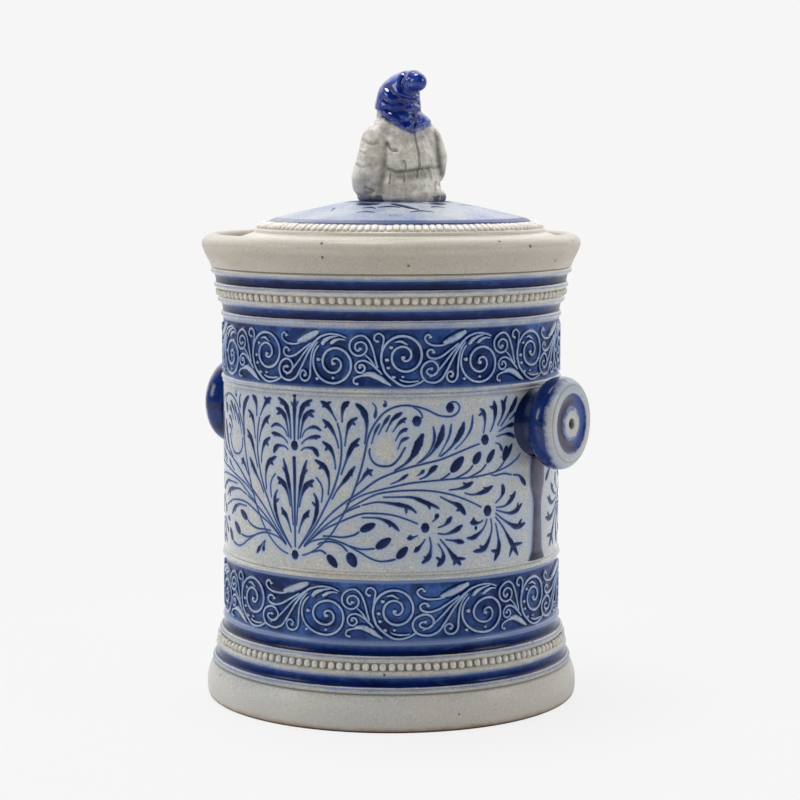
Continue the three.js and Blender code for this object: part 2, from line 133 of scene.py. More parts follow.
# Camera
CAMERA_AZIMUTH = math.radians(33.0)
CAMERA_DISTANCE = 764.8
CAMERA_HEIGHT = 181.8
CAMERA_DOWN = math.radians(6.147)
CAMERA_ASIDE = math.radians(0.2208)
CAMERA_LENS = 102.33


def srgb(red, green, blue):
    """A colour as it is seen on a screen, 0 to 255, as linear values."""
    return tuple((channel / 255 / 12.92) if channel < 10.3 else ((channel / 255 + 0.055) / 1.055) ** 2.4
                 for channel in (red, green, blue))


# Sizes and colours that a user would change

def length(name, default, description):
    """A length in metres from a default in millimetres."""
    return bpy.props.FloatProperty(name=name, description=description, default=default * MM,
                                   min=0.0, subtype="DISTANCE", unit="LENGTH")


def colour(name, default, description):
    """A colour property from screen values."""
    return bpy.props.FloatVectorProperty(name=name, description=description, default=srgb(*default),
                                         size=3, min=0.0, max=1.0, subtype="COLOR")


def count(name, default, description):
    """A number of things."""
    return bpy.props.IntProperty(name=name, description=description, default=default, min=3)


class JarSizes(bpy.types.PropertyGroup):
    """Sizes of the relief and decoration."""

    scroll_relief: length("Scroll relief", 0.62, "How far the friezes' scrolls stand out of their ground")
    stroke_lip: length("Stroke lip", 0.09, "How far the edges of the incised strokes stand up")
    bead_size: length("Bead size", 2.15, "Width of one moulded bead")
    upper_beads: count("Upper beads", 125, "Beads in the row under the rim")
    lower_beads: count("Lower beads", 130, "Beads in the row above the foot")
    lid_beads: count("Lid beads", 126, "Beads round the lid")
    strap_relief: length("Strap relief", 0.8, "Thickness of the painted strap under each handle")
    jar_sides: count("Jar sides", 360, "Steps in the turning of the jar")


class JarColours(bpy.types.PropertyGroup):
    """Colours of the clay and the glazes."""

    clay_cool: colour("Cool clay", (172, 176, 177), "Salt-glazed grey stoneware where it fired cool")
    clay_warm: colour("Warm clay", (186, 183, 174), "Salt-glazed grey stoneware where it fired warm")
    cream: colour("Cream clay", (192, 183, 169), "The rim, the lid and the figure's coat")
    burnt: colour("Burnt edge", (150, 112, 78), "The bare edge of the foot")
    iron: colour("Iron speck", (46, 36, 30), "Specks of iron in the clay")
    cobalt: colour("Cobalt", (16, 44, 108), "Cobalt glaze where it is thin")
    navy: colour("Navy", (3, 11, 48), "Cobalt glaze where it pooled")
    wash: colour("Wash", (148, 166, 194), "Thin cobalt wash over the clay")
    frieze_light: colour("Frieze light", (60, 98, 162), "Frieze ground where the glaze is thin")
    frieze_deep: colour("Frieze deep", (10, 32, 88), "Frieze ground where the glaze pooled")
    crest: colour("Crest", (154, 172, 200), "Crests of the friezes' scrolls")
    slate: colour("Slate", (58, 52, 80), "Manganese slate of the straps and the handles' rings")


def tone(red, green, blue):
    """A screen colour, 0 to 255, as a shader socket takes it."""
    return (*srgb(red, green, blue), 1.0)


def sizes():
    """The scene's sizes."""
    return bpy.context.scene.jar_sizes


def paint(name):
    """One of the scene's colours, with alpha."""
    return (*getattr(bpy.context.scene.jar_colours, name), 1.0)


# Shader values

def feed(tree, node, inputs):
    """Sets the sockets of a node, or links them where they are given another socket."""
    for key, value in inputs.items():
        if isinstance(value, Shade):
            tree.links.new(value.socket, node.inputs[key])
        else:
            node.inputs[key].default_value = value


class Shade:
    """A socket in a material. Arithmetic on it adds Math nodes."""

    def __init__(self, tree, socket):
        self.tree = tree
        self.socket = socket

    def node(self, kind, settings, inputs, output=0):
        """Adds a node: its settings first, then the values or links of its sockets."""
        made = self.tree.nodes.new(kind)
        for name, value in settings.items():
            setattr(made, name, value)
        feed(self.tree, made, inputs)
        return Shade(self.tree, made.outputs[output] if made.outputs else None)

    def math(self, operation, *values):
        """Adds a Math node."""
        return self.node("ShaderNodeMath", {"operation": operation}, dict(enumerate(values)))

    def __add__(self, other):
        return self.math("ADD", self, other)

    def __radd__(self, other):
        return self.math("ADD", other, self)

    def __sub__(self, other):
        return self.math("SUBTRACT", self, other)

    def __rsub__(self, other):
        return self.math("SUBTRACT", other, self)

    def __mul__(self, other):
        return self.math("MULTIPLY", self, other)

    def __rmul__(self, other):
        return self.math("MULTIPLY", other, self)

    def __pow__(self, other):
        return self.math("POWER", self, other)

    def most(self, other):
        """The larger of two values."""
        return self.math("MAXIMUM", self, other)

    def size(self):
        """The value without its sign."""
        return self.math("ABSOLUTE", self)

    def step(self, low, high):
        """Rises smoothly from 0 at low to 1 at high, or falls where low is above high."""
        if low > high:
            return 1 - self.step(high, low)
        settings = {"interpolation_type": "SMOOTHSTEP"}
        return self.node("ShaderNodeMapRange", settings, {"Value": self, "From Min": low, "From Max": high})

    def mix(self, low, high):
        """The colour low where this value is 0, and the colour high where it is 1."""
        settings = {"data_type": "RGBA", "clamp_factor": True}
        return self.node("ShaderNodeMix", settings, {0: self, 6: low, 7: high}, 2)

    def along(self, axis):
        """One part of a vector."""
        return self.node("ShaderNodeSeparateXYZ", {}, {0: self}, axis)

    def mm(self, axis):
        """One part of a place, in millimetres."""
        return self.along(axis) * (1 / MM)

    def stretched(self, scale):
        """A place with each axis multiplied."""
        return self.node("ShaderNodeMapping", {}, {"Vector": self, "Scale": scale})

    def noise(self, scale, detail=2.0, roughness=0.5):
        """Soft noise, with scale in waves per metre."""
        inputs = {"Vector": self, "Scale": scale, "Detail": detail, "Roughness": roughness}
        return self.node("ShaderNodeTexNoise", {}, inputs)

    def ripple(self, scale, detail=2.0, roughness=0.5):
        """Soft noise about zero."""
        return self.noise(scale, detail, roughness) - 0.5

    def cells(self, scale, output):
        """Distance or colour of scattered cells."""
        return self.node("ShaderNodeTexVoronoi", {}, {"Vector": self, "Scale": scale}, output)

    def attribute(self, name):
        """A value that the mesh carries."""
        return self.node("ShaderNodeAttribute", {"attribute_name": name}, {}, 2)

    def bump(self, strength, distance):
        """A surface whose height is this value."""
        inputs = {"Strength": strength, "Distance": distance, "Height": self}
        return self.node("ShaderNodeBump", {}, inputs)


def finish(name, describe):
    """A material whose Principled sockets are what describe gives for a place on the surface."""
    material = bpy.data.materials.get(name)
    if material:
        return material
    material = bpy.data.materials.new(name)
    material.use_nodes = True
    tree = material.node_tree
    place = Shade(tree, tree.nodes.new("ShaderNodeTexCoord").outputs["Object"])
    feed(tree, tree.nodes["Principled BSDF"], describe(place))
    return material


# Finishes

PEEL_DEPTH = 0.0003


def layered(body, *layers):
    """A body with colours laid over it in turn, each by its own mask."""
    for mask, over in layers:
        body = mask.mix(body, over)
    return body


def skin(place, strength):
    """The fine pitted skin that salt leaves, as a normal."""
    peel = place.noise(1000, 2.0) + place.noise(2600, 1.0) * 0.4
    return peel.bump(strength, PEEL_DEPTH)


def dulled(place, most):
    """Roughness that comes and goes over a glaze."""
    return place.noise(700, 2.0) * most


def specks(place, scale, share):
    """Scattered iron specks, about the given share of the cells."""
    near = place.cells(scale, 0).step(0.16, 0.07)
    chosen = place.cells(scale, 1).along(0).step(1 - share, 1 - share + 0.002)
    return near * chosen


def clay(place, warmth):
    """Grey stoneware under salt glaze, its fine grain partly speckle and partly painted light and shade.
    Warmth is a mask for the cream clay.
    """
    grain = place.noise(1500, 2.0, 0.6)
    coarse = 0.5 - warmth * 0.3
    drifts = place.stretched((1.0, 1.0, 4.0)).noise(70, 3.0).step(0.3, 0.7)
    dots = specks(place, 260, 0.05) + specks(place, 210, 0.12) * warmth + specks(place, 900, 0.03) * 0.7
    return layered(
        paint("clay_cool"),
        (place.noise(26, 3.0).step(0.36, 0.66), paint("clay_warm")),
        (warmth, paint("cream")),
        (drifts * 0.16, tone(150, 140, 126)),
        # Fine grain of lighter and darker specks: partly the clay's own speckle, partly painted light and
        # shade of its pitted skin
        (grain.step(0.5, 0.75) * coarse, tone(222, 219, 212)),
        (grain.step(0.5, 0.25) * coarse, tone(118, 115, 110)),
        (dots, paint("iron")))


def cobalt(place, stretch=(1.0, 1.0, 3.0)):
    """Cobalt glaze, navy where it pooled and brighter where the brush left it thin."""
    flow = place.stretched(stretch)
    return layered(
        paint("navy"),
        (flow.noise(60, 4.0, 0.6).step(0.27, 0.56), paint("cobalt")),
        (flow.noise(420, 2.0).step(0.56, 0.8) * 0.35, paint("frieze_light")))


def frieze_ground(place):
    """Blue wash of the friezes, laid on with a full brush."""
    return layered(
        paint("frieze_deep"),
        (place.noise(48, 4.0, 0.66).step(0.34, 0.66), paint("frieze_light")),
        (place.noise(700, 3.0, 0.65).step(0.35, 0.75) * 0.5, paint("frieze_deep")),
        (place.noise(110, 2.0).step(0.5, 0.68) * 0.7, paint("navy")))


def jar_finish(place):
    """Jar wall: clay, with bands and friezes by the marks of its rows, a cream rim and a burnt foot, and
    painted light and shade.
    """
    height = place.mm(2)
    ragged = place.ripple(300, 3.0) * 0.7
    stripe = (place.attribute("cobalt") + ragged * 0.6).step(0.3, 0.62)
    ground = place.attribute("frieze").step(0.2, 0.8)
    halo = place.attribute("halo") * place.noise(90, 3.0).step(0.15, 0.6)
    bled = place.attribute("bled") + place.ripple(180, 3.0) * 0.6
    warmth = height.step(126, 150) * 0.85 + height.step(16, 2) * 0.35
    # Painted shade on the rim's wall under its lip
    rim = height.step(152.8, 150) * height.step(RIM_FOOT - 1, RIM_FOOT + 0.5)
    plain = height.step(8, 40) * height.step(149, 144)
    depth = place.attribute("pooled") + ragged * 0.7
    gathered = depth.step(0.35, 0.65) * (0.8 - height.step(17, 14) * 0.3)
    band = layered(
        cobalt(place, (0.45, 0.45, 2.0)),
        # Navy towards the stripes' lower edges: partly pooled glaze, partly painted shade
        (gathered, paint("navy")),
        # Painted reflection lightening the stripes' upper halves
        (depth.step(0.4, 0.1) * 0.55, tone(58, 84, 128)))
    base = layered(
        clay(place, warmth),
        # Painted shade darkening the rim's wall under its lip
        (rim * 0.24, tone(122, 110, 94)),
        (halo * 0.68, paint("wash")),
        # Painted light brightening the foot
        (height.step(13, 8) * 0.4, tone(204, 202, 196)),
        # Painted shade in the grooves, the bead beds and the moulding's seams
        (place.attribute("recess") * 0.8, tone(104, 104, 98)),
        (bled.step(0.2, 1.0) * 0.88, tone(88, 114, 164)),
        (ground, frieze_ground(place)),
        (stripe, band),
        ((height + ragged * 2.5).step(2.6, 0.2) * 0.8, paint("burnt")),
        # Painted contact shadow along the foot's bottom edge
        (height.step(1.2, 0.4) * 0.8, tone(66, 53, 42)))
    return {
        "Base Color": base,
        "Roughness": 0.2 - stripe * 0.08 + dulled(place, 0.1),
        "Specular IOR Level": 0.1,
        "Coat Weight": 0.07 + stripe * 0.05 + (1 - stripe.most(ground)) * plain * 0.68,
        "Coat Roughness": 0.16,
        "Normal": skin(place, 0.24),
    }


def scroll_finish(place):
    """Scrolls of the friezes: pale where the glaze ran off the crests, navy beside them, partly gathered
    glaze and partly painted shade.
    """
    crest = place.attribute("crest")
    grain = place.ripple(900, 3.0, 0.6) * 0.7 + place.ripple(80, 2.0) * 0.4
    bare = place.attribute("wide").step(0.93, 1.0).mix(paint("crest"), tone(168, 177, 188))
    worn = 0.95 - place.noise(70, 3.0, 0.6).step(0.45, 0.75) * 0.4
    base = layered(
        frieze_ground(place),
        # Navy skirt beside each scroll: partly gathered glaze, partly painted shade
        (crest.step(0.03, 0.14) * 0.85, paint("navy")),
        (crest.step(0.35, 0.75), paint("frieze_light")),
        ((crest + grain).step(0.52, 0.97) * worn, bare))
    return {
        "Base Color": base,
        "Roughness": 0.18 + dulled(place, 0.14),
        "Specular IOR Level": 0.1,
        "Coat Weight": 0.1 + crest * 0.5,
        "Coat Roughness": 0.16,
        "Normal": skin(place, 0.12),
    }


def stroke_finish(place):
    """Incised strokes of the panels: navy where wide, paler where thin, bleeding at their edges, with
    painted shade towards their upper edges.
    """
    flow = place.ripple(170, 3.0, 0.65) * 1.1
    # Navy where wide is pooled glaze; darker towards the upper edge is painted shade in the incision
    pooled = (place.attribute("wide") * 0.8 + flow + place.attribute("upper") * 0.45).step(0.0, 0.95)
    base = layered(
        tone(50, 73, 124),
        (pooled, tone(9, 21, 62)),
        (place.attribute("crest").step(0.3, 0.05), tone(132, 152, 186)))
    return {
        "Base Color": base,
        "Roughness": 0.26 + dulled(place, 0.12),
        "Specular IOR Level": 0.15,
        "Normal": skin(place, 0.12),
    }


def bead_finish(place):
    """Moulded beads in bare salt-glazed clay."""
    height = place.mm(2)
    worn = place.noise(900, 2.0).step(0.35, 0.7) * 0.3
    pale = height.step(60, 20) * 0.2 + worn + height.step(156, 158) * 0.6
    return {
        "Base Color": pale.mix(clay(place, height.step(60, 150) * 0.7), tone(234, 229, 219)),
        "Roughness": 0.24 + dulled(place, 0.12),
        "Normal": skin(place, 0.14),
    }


def handle_finish(place):
    """Discs: cobalt round the edge, grey face, slate ring, and painted shade in the groove round the face
    and in the vent.
    """
    out = place.mm(0).size()
    across = place.mm(1)
    up = place.mm(2) - HANDLE_HEIGHT
    radius = (across * across + up * up) ** 0.5
    ragged = place.ripple(600, 4.0, 0.7)
    blue = out + ragged * 2.6 + place.ripple(110, 2.0) * 2.2
    edge = blue.step(DISC_FACE - 0.9, DISC_FACE - 2.6)
    fringe = blue.step(DISC_FACE + 0.4, DISC_FACE - 1.4)
    wet = ragged * 0.9
    wavy = radius + wet
    even = radius + wet * 0.3
    ring = wavy.step(5.2, 5.7) * wavy.step(10.1, 9.5) * out.step(DISC_FACE - 1.6, DISC_FACE - 1.3)
    line = (radius + wet * 0.4).step(9.6, 10.0) * wavy.step(11.2, 10.2)
    groove = even.step(12.1, 12.4) * even.step(12.9, 12.6) * out.step(DISC_FACE - 1.2, DISC_FACE - 0.8)
    boss = wavy.step(5.7, 5.2) * (radius + wet * 1.5).step(3.9, 4.9)
    warm = place.noise(60, 2.0).step(0.3, 0.7) * 0.75
    turned_away = across + place.ripple(90, 2.0) * 9
    base = layered(
        clay(place, warm),
        (0.32 - warm * 0.25, tone(120, 138, 170)),
        ((line + boss).most(fringe * 0.6) * 0.75, paint("wash")),
        # Painted shade in the groove round the face
        (groove * 0.5, tone(96, 98, 104)),
        (ring, turned_away.step(-1.0, 4.0).mix(paint("slate"), tone(24, 52, 124))),
        (boss * (ragged + 0.62).step(0.35, 0.75) * 0.9, tone(44, 76, 146)),
        (edge, cobalt(place)),
        # Painted shade in the vent
        (radius.step(1.9, 1.5) * 0.9, tone(40, 38, 44)))
    return {
        "Base Color": base,
        "Roughness": 0.34 - edge * 0.2 - ring * 0.08 + dulled(place, 0.08),
        "Specular IOR Level": 0.25,
        "Coat Weight": 0.3,
        "Coat Roughness": 0.1,
        "Normal": skin(place, 0.16),
    }


def neck_finish(place):
    """Necks: cobalt, darkened with navy as painted shade in the corners, and paler in patches on the round.
    """
    round_part = place.mm(0).size().step(WALL_RADIUS + 0.4, WALL_RADIUS + 1.6)
    pale_patches = place.noise(150, 3.0).step(0.42, 0.62) * round_part
    base = layered(
        cobalt(place),
        # Painted shade: navy over the neck outside its pale patches
        ((1 - pale_patches) * 0.6, paint("navy")),
        # Paler patches on the round
        (pale_patches * 0.55, tone(88, 108, 146)))
    return {
        "Base Color": base,
        "Roughness": 0.16 + pale_patches * 0.2,
        "Specular IOR Level": 0.25,
        "Normal": skin(place, 0.16),
    }


def strap_finish(place):
    """Straps under the handles: matt manganese slate with a blue edge."""
    worn = place.noise(240, 4.0, 0.65).step(0.35, 0.75)
    base = layered(
        tone(58, 56, 80),
        (worn, tone(94, 92, 116)),
        (place.mm(2).step(PANEL_FOOT + 3.2, PANEL_FOOT + 1.4), paint("navy")),
        (place.attribute("crest").step(0.75, 0.2), paint("wash")))
    return {
        "Base Color": base,
        "Roughness": 0.34 + worn * 0.12,
        "Normal": skin(place, 0.18),
    }


def lid_finish(place):
    """Lid: cream rim, pale cobalt wash with brush marks on the cone, a blue line at its edge."""
    along = place.mm(0) - LID_AXIS[0]
    across = place.mm(1) - LID_AXIS[1]
    radius = (along * along + across * across) ** 0.5
    ragged = place.ripple(260, 4.0, 0.6)
    top = (place.mm(2) - LID_SEAT).step(LID_CONE_FOOT - 1.3, LID_CONE_FOOT - 0.7)
    cone = (radius + ragged * 2.2).step(LID_CONE_RADIUS + 0.6, LID_CONE_RADIUS - 1.0) * top
    line = (radius + ragged * 1.8).step(LID_CONE_RADIUS - 3.2, LID_CONE_RADIUS - 1.8)
    line = line * (radius + ragged * 0.9).step(LID_CONE_RADIUS + 0.7, LID_CONE_RADIUS + 0.1) * top
    foot = (radius + ragged * 5.0).step(LID_BOSS_RADIUS + 5.0, LID_BOSS_RADIUS + 1.0) * top
    brushed = place.stretched((1.0, 2.4, 1.0)).noise(120, 4.0, 0.7)
    patches = place.noise(42, 3.0, 0.6)
    strokes = brushed.step(0.52, 0.66) * patches.step(0.42, 0.62)
    dull = place.noise(800, 3.0, 0.65).step(0.46, 0.32)
    glint = place.noise(1100, 2.0, 0.6).step(0.55, 0.75)
    base = layered(
        clay(place, place.noise(30, 2.0) * 0.4 + 0.55),
        (radius.step(LID_CONE_RADIUS, LID_BAND_RADIUS) * 0.35, tone(226, 219, 206)),
        (cone * brushed.step(0.2, 0.5) * 0.9, tone(172, 178, 188)),
        (cone * patches.step(0.44, 0.6) * 0.6, tone(126, 144, 180)),
        (cone * dull * 0.6, tone(104, 124, 166)),
        (cone * strokes * 0.5, paint("frieze_light")),
        (cone * glint * 0.5, tone(222, 226, 232)),
        (line * (0.45 + place.along(0).step(-0.02, 0.03) * 0.45), paint("cobalt")),
        (foot * (ragged + 0.5).step(0.34, 0.56), tone(24, 40, 96)))
    return {
        "Base Color": base,
        "Roughness": 0.2 + cone * 0.22 + dulled(place, 0.1),
        "Specular IOR Level": 0.3,
        "Normal": skin(place, 0.3),
    }


def coat_finish(place):
    """The figure's coat, hands and shoes: bare cream clay, with painted shade in its folds and blue in
    places.
    """
    stain = place.attribute("tint")
    tint = (stain + place.ripple(420, 4.0, 0.7) * 1.3).step(0.45, 0.85).most(stain * 0.5)
    low = (place.mm(2) - FIGURE_BASE).step(3.4, 1.4)
    base = layered(
        clay(place, place.noise(120, 2.0) * 0.5 + 0.35),
        (place.noise(230, 4.0, 0.7).step(0.4, 0.62) * 0.85, tone(224, 221, 213)),
        (place.noise(300, 4.0, 0.7).step(0.48, 0.34) * 0.22, tone(126, 120, 112)),
        # Painted shade in the folds
        (place.attribute("crease_shade") * 0.7, tone(72, 65, 58)),
        (tint * 0.85, low.mix(tone(40, 60, 128), tone(18, 31, 82))))
    return {
        "Base Color": base,
        "Roughness": 0.42 - tint * 0.2 + dulled(place, 0.1),
        "Specular IOR Level": 0.4,
        "Normal": skin(place, 0.4),
    }


def hood_finish(place):
    """The figure's hood: thick glossy cobalt, thin on the ridges, frayed at its hem, with painted shade in
    its creases.
    """
    thin = place.noise(230, 3.0, 0.6).step(0.46, 0.74)
    frayed = (place.attribute("tint") + place.ripple(460, 4.0, 0.7) * 1.6).step(0.8, 1.2)
    base = layered(
        tone(12, 40, 130),
        (thin, tone(56, 88, 172)),
        # Painted shade in the creases
        (place.attribute("crease_shade") * 0.6, tone(4, 13, 66)),
        (frayed * 0.7, tone(140, 152, 184)))
    return {
        "Base Color": base,
        "Roughness": 0.09 + thin * 0.1 + frayed * 0.25,
        "Specular IOR Level": 0.6,
        "Normal": skin(place, 0.1),
    }


# Modelling helpers

MERGE_GAP = 2e-6


def start_alone():
    """Leaves nothing selected, in object mode."""
    if bpy.context.object and bpy.context.object.mode != "OBJECT":
        bpy.ops.object.mode_set(mode="OBJECT")
    bpy.ops.object.select_all(action="DESELECT")


def select_only(piece):
    """Leaves one piece selected and active, in object mode."""
    start_alone()
    piece.select_set(True)
    bpy.context.view_layer.objects.active = piece


@contextmanager
def editing():
    """Edit mode on the active piece, with all of it selected at first."""
    bpy.ops.object.mode_set(mode="EDIT")
    bpy.ops.mesh.select_all(action="SELECT")
    yield
    bpy.ops.object.mode_set(mode="OBJECT")


def apply_place():
    """Puts the active piece's place, turn and scale into its mesh."""
    bpy.ops.object.transform_apply(location=True, rotation=True, scale=True)


def settle(piece, name, angle):
    """Names a finished piece, puts its place into its mesh and smooths it."""
    piece.name = name
    piece.data.name = name
    apply_place()
    bpy.ops.object.shade_smooth_by_angle(angle=math.radians(angle))
    return piece


def join_frame(piece, body, slot, material, *nodes):
    """Rides a piece on its body with its finish, and hides the frame nodes that it stands for."""
    piece.data.materials.clear()
    piece.data.materials.append(material)
    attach(piece, body)
    if nodes:
        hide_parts(*nodes)


def turned(name, outline, steps, centre=(0.0, 0.0, 0.0), lay=0.0):
    """Turns an outline of (radius, height) about Z, then lays it over about Y and moves it to centre."""
    start_alone()
    first = outline[0]
    bpy.ops.mesh.primitive_plane_add(size=MM, location=(first[0] * MM, 0.0, first[1] * MM))
    piece = bpy.context.object
    with editing():
        bpy.ops.mesh.merge(type="CENTER")
        for before, after in zip(outline, outline[1:]):
            move = ((after[0] - before[0]) * MM, 0.0, (after[1] - before[1]) * MM)
            bpy.ops.mesh.extrude_region_move(TRANSFORM_OT_translate={"value": move})
        bpy.ops.mesh.select_all(action="SELECT")
        bpy.ops.mesh.spin(steps=steps, angle=2 * math.pi, center=(0.0, 0.0, 0.0), axis=(0.0, 0.0, 1.0))
        bpy.ops.mesh.select_all(action="SELECT")
        bpy.ops.mesh.remove_doubles(threshold=MERGE_GAP)
        bpy.ops.mesh.normals_make_consistent(inside=False)
    apply_place()
    piece.rotation_euler = (0.0, lay, 0.0)
    piece.location = [value * MM for value in centre]
    return settle(piece, name, TURNED_ANGLE)


def vectors(items, field):
    """The vectors that a mesh holds in one field."""
    flat = np.empty(3 * len(items), np.float32)
    items.foreach_get(field, flat)
    return flat.reshape(-1, 3).astype(float)


def points_of(piece):
    """The vertices of a piece, in millimetres."""
    return vectors(piece.data.vertices, "co") / MM


def normals_of(piece):
    """The vertex normals of a piece."""
    return vectors(piece.data.vertex_normals, "vector")


def move_points(piece, points):
    """Moves the vertices of a piece to points in millimetres."""
    piece.data.vertices.foreach_set("co", (points * MM).astype(np.float32).ravel())
    piece.data.update()


def carry(piece, name, values):
    """Stores one value per vertex under a name that materials read."""
    layer = piece.data.attributes.new(name, "FLOAT", "POINT")
    layer.data.foreach_set("value", np.asarray(values, np.float32))


def smooth_line(points, gap):
    """A Catmull-Rom curve through points, as points about a gap apart."""
    knots = np.array(points, float)
    if len(knots) < 3:
        steps = max(2, int(np.linalg.norm(knots[-1] - knots[0]) / gap) + 1)
        return knots[0] + (knots[-1] - knots[0]) * np.linspace(0, 1, steps)[:, None]
    padded = np.vstack((2 * knots[0] - knots[1], knots, 2 * knots[-1] - knots[-2]))
    line = [knots[0]]
    for before, start, end, after in zip(padded, padded[1:], padded[2:], padded[3:]):
        steps = max(2, int(np.linalg.norm(end - start) / gap) + 1)
        for t in np.linspace(0, 1, steps + 1)[1:]:
            bend = (2 * before - 5 * start + 4 * end - after) * t * t
            twist = (3 * start - before - 3 * end + after) * t * t * t
            line.append(0.5 * (2 * start + (end - before) * t + bend + twist))
    return np.array(line)


def ease(values, low, high):
    """Rises smoothly from 0 at low to 1 at high."""
    t = np.clip((np.asarray(values, float) - low) / (high - low), 0, 1)
    return t * t * (3 - 2 * t)


# Half the width of a stroke that counts as wide
WIDE_STROKE = 0.6
# Waves of a shaking brush, in radians per millimetre, and the share of the quicker one
SHAKE_SLOW = 1.9
SHAKE_QUICK = 4.3
QUICK_SHARE = 0.6
# What is left of a stroke's width at its very end
TIP_SHARE = 0.03


class Drawing:
    """Strokes drawn flat on an unrolled surface: along it, up it and out of it, in millimetres."""

    def __init__(self, section, relief):
        self.section = section
        self.relief = relief
        self.points = []
        self.faces = []
        self.marks = {"crest": [], "wide": [], "upper": []}
        self.middles = []

    def stroke(self, points, widths, gap=0.5, rounded=True, shake=0.0):
        """Draws a stroke whose width at each share of its length is interpolated from widths."""
        line = smooth_line(points, gap)
        steps = np.linalg.norm(np.diff(line, axis=0), axis=1)
        run = np.concatenate(((0.0,), np.cumsum(steps)))
        width = np.interp(run / run[-1], np.linspace(0, 1, len(widths)), widths)
        taper = np.ones(len(run))
        if rounded:
            start = np.clip(run / max(0.5 * widths[0], 0.1), 0, 1)
            end = np.clip((run[-1] - run) / max(0.5 * widths[-1], 0.1), 0, 1)
            taper = np.sqrt(1 - (1 - start) ** 2) * np.sqrt(1 - (1 - end) ** 2)
        slow = np.sin(SHAKE_SLOW * run + len(self.points))
        uneven = 1 + shake * (slow + QUICK_SHARE * np.sin(SHAKE_QUICK * run))
        half = 0.5 * width * uneven * np.maximum(taper, TIP_SHARE)
        self.middles.extend((*point, span) for point, span in zip(line, half))
        heading = np.gradient(line, axis=0)
        heading /= np.maximum(np.linalg.norm(heading, axis=1), 1e-9)[:, None]
        aside = np.stack((-heading[:, 1], heading[:, 0]), axis=1)
        self.rings(line, aside, half, taper)

    def rings(self, line, aside, half, taper):
        """Lays the section across the line at each of its points, and faces between."""
        first = len(self.points)
        across = len(self.section)
        for point, side, span, rise in zip(line, aside, half, taper):
            for share, skirt, height, crest in self.section:
                place = point + side * (share * span + skirt * rise)
                self.points.append((*place, self.relief * (height * rise if height > 0 else height)))
                self.marks["crest"].append(crest)
                self.marks["wide"].append(min(1.0, span / WIDE_STROKE))
                # Share towards the stroke's upper edge, for painted shade in the incision
                self.marks["upper"].append(share * side[1])
        for ring in range(len(line) - 1):
            for step in range(across - 1):
                here = first + ring * across + step
                self.faces.append((here, here + 1, here + across + 1, here + across))

    def dot(self, centre, radius):
        """Draws a round dot as a short fat stroke."""
        along = 0.999 * radius
        self.stroke([(centre[0] - along, centre[1]), centre, (centre[0] + along, centre[1])],
                    (2 * radius, 2 * radius), gap=radius / 3)

    def made(self, name, place):
        """Makes the drawing a mesh, with each of its points put where place says."""
        placed = [[value * MM for value in place(*point)] for point in self.points]
        mesh = bpy.data.meshes.new(name)
        mesh.from_pydata(placed, [], self.faces)
        piece = bpy.data.objects.new(name, mesh)
        bpy.context.collection.objects.link(piece)
        select_only(piece)
        for mark, values in self.marks.items():
            carry(piece, mark, values)
        with editing():
            bpy.ops.mesh.normals_make_consistent(inside=False)
        return settle(piece, name, RELIEF_ANGLE)


def both_halves(half):
    """A section across a stroke, from its left half with the middle: share, skirt, height and crest."""
    return (*half, *((-share, -skirt, height, crest) for share, skirt, height, crest in half[-2::-1]))


def scaled(width, shares):
    """The widths along a stroke, from its own width and their shares of it."""
    return [width * share for share in shares]


def on_wall(radius, turn=0.0, reference=None):
    """A place on the jar's wall, for points drawn along it from -Y at the reference radius."""
    def place(along, up, out):
        angle = along / (reference or radius) + turn
        return (radius + out) * math.sin(angle), -(radius + out) * math.cos(angle), up
    return place


# Jar wall

# Marks of the wall's rows: cobalt, frieze ground, painted shade in recesses, blue that bled, and the
# stripes' pooled glaze with painted light
MARKS = ("cobalt", "frieze", "recess", "bled", "pooled")
FOOT_CURVE = ((61.2, 0.0), (61.9, 0.4), (62.45, 1.3), (62.7, 3.6), (62.5, 6.8), (61.9, 9.2), (61.25, 10.9),
              (FOOT_RADIUS, FOOT_HEIGHT))
RIM_CURVE = ((RIM_RADIUS, RIM_FOOT), (60.8, 146.3), (61.6, 148.0), (62.4, 149.6), (63.05, 151.2),
             (LIP_RADIUS, 152.6), (63.2, 153.8), (62.5, 154.75), (61.6, 155.35), (60.5, 155.8),
             (59.5, JAR_HEIGHT), (58.6, 155.7), (58.0, 154.9), (GALLERY_RADIUS, 153.6),
             (GALLERY_RADIUS, 151.4))
FRIEZE_RECESS = 0.15
FRIEZE_EDGE = 14
FRIEZE_STEPS = 16
MOULDING_SPLIT = 0.4
MOULDING_STEPS = 18
PANEL_STEPS = 40
CHAMBER_TOP = 130.0
CHAMBER_STEPS = 8
FILLET_STEPS = 5
CURVE_GAP = 1.1
# How much of a frieze's blue ran onto the ridge above it, and stands at the foot of the one below
RUN_OVER = 0.6
UNDERPAINT = 0.62
# Half the width of a strap for the halo beside it, and how far a halo reaches
STRAP_HALF = 4.0
HALO_START = 0.1
HALO_END = 2.6
# Vertices that are matched with rows at once
BATCH = 8192


def row(radius, height, **marks):
    """One point of the jar's outline, with how much of each mark it carries."""
    return (radius, height, *(marks.get(mark, 0.0) for mark in MARKS))


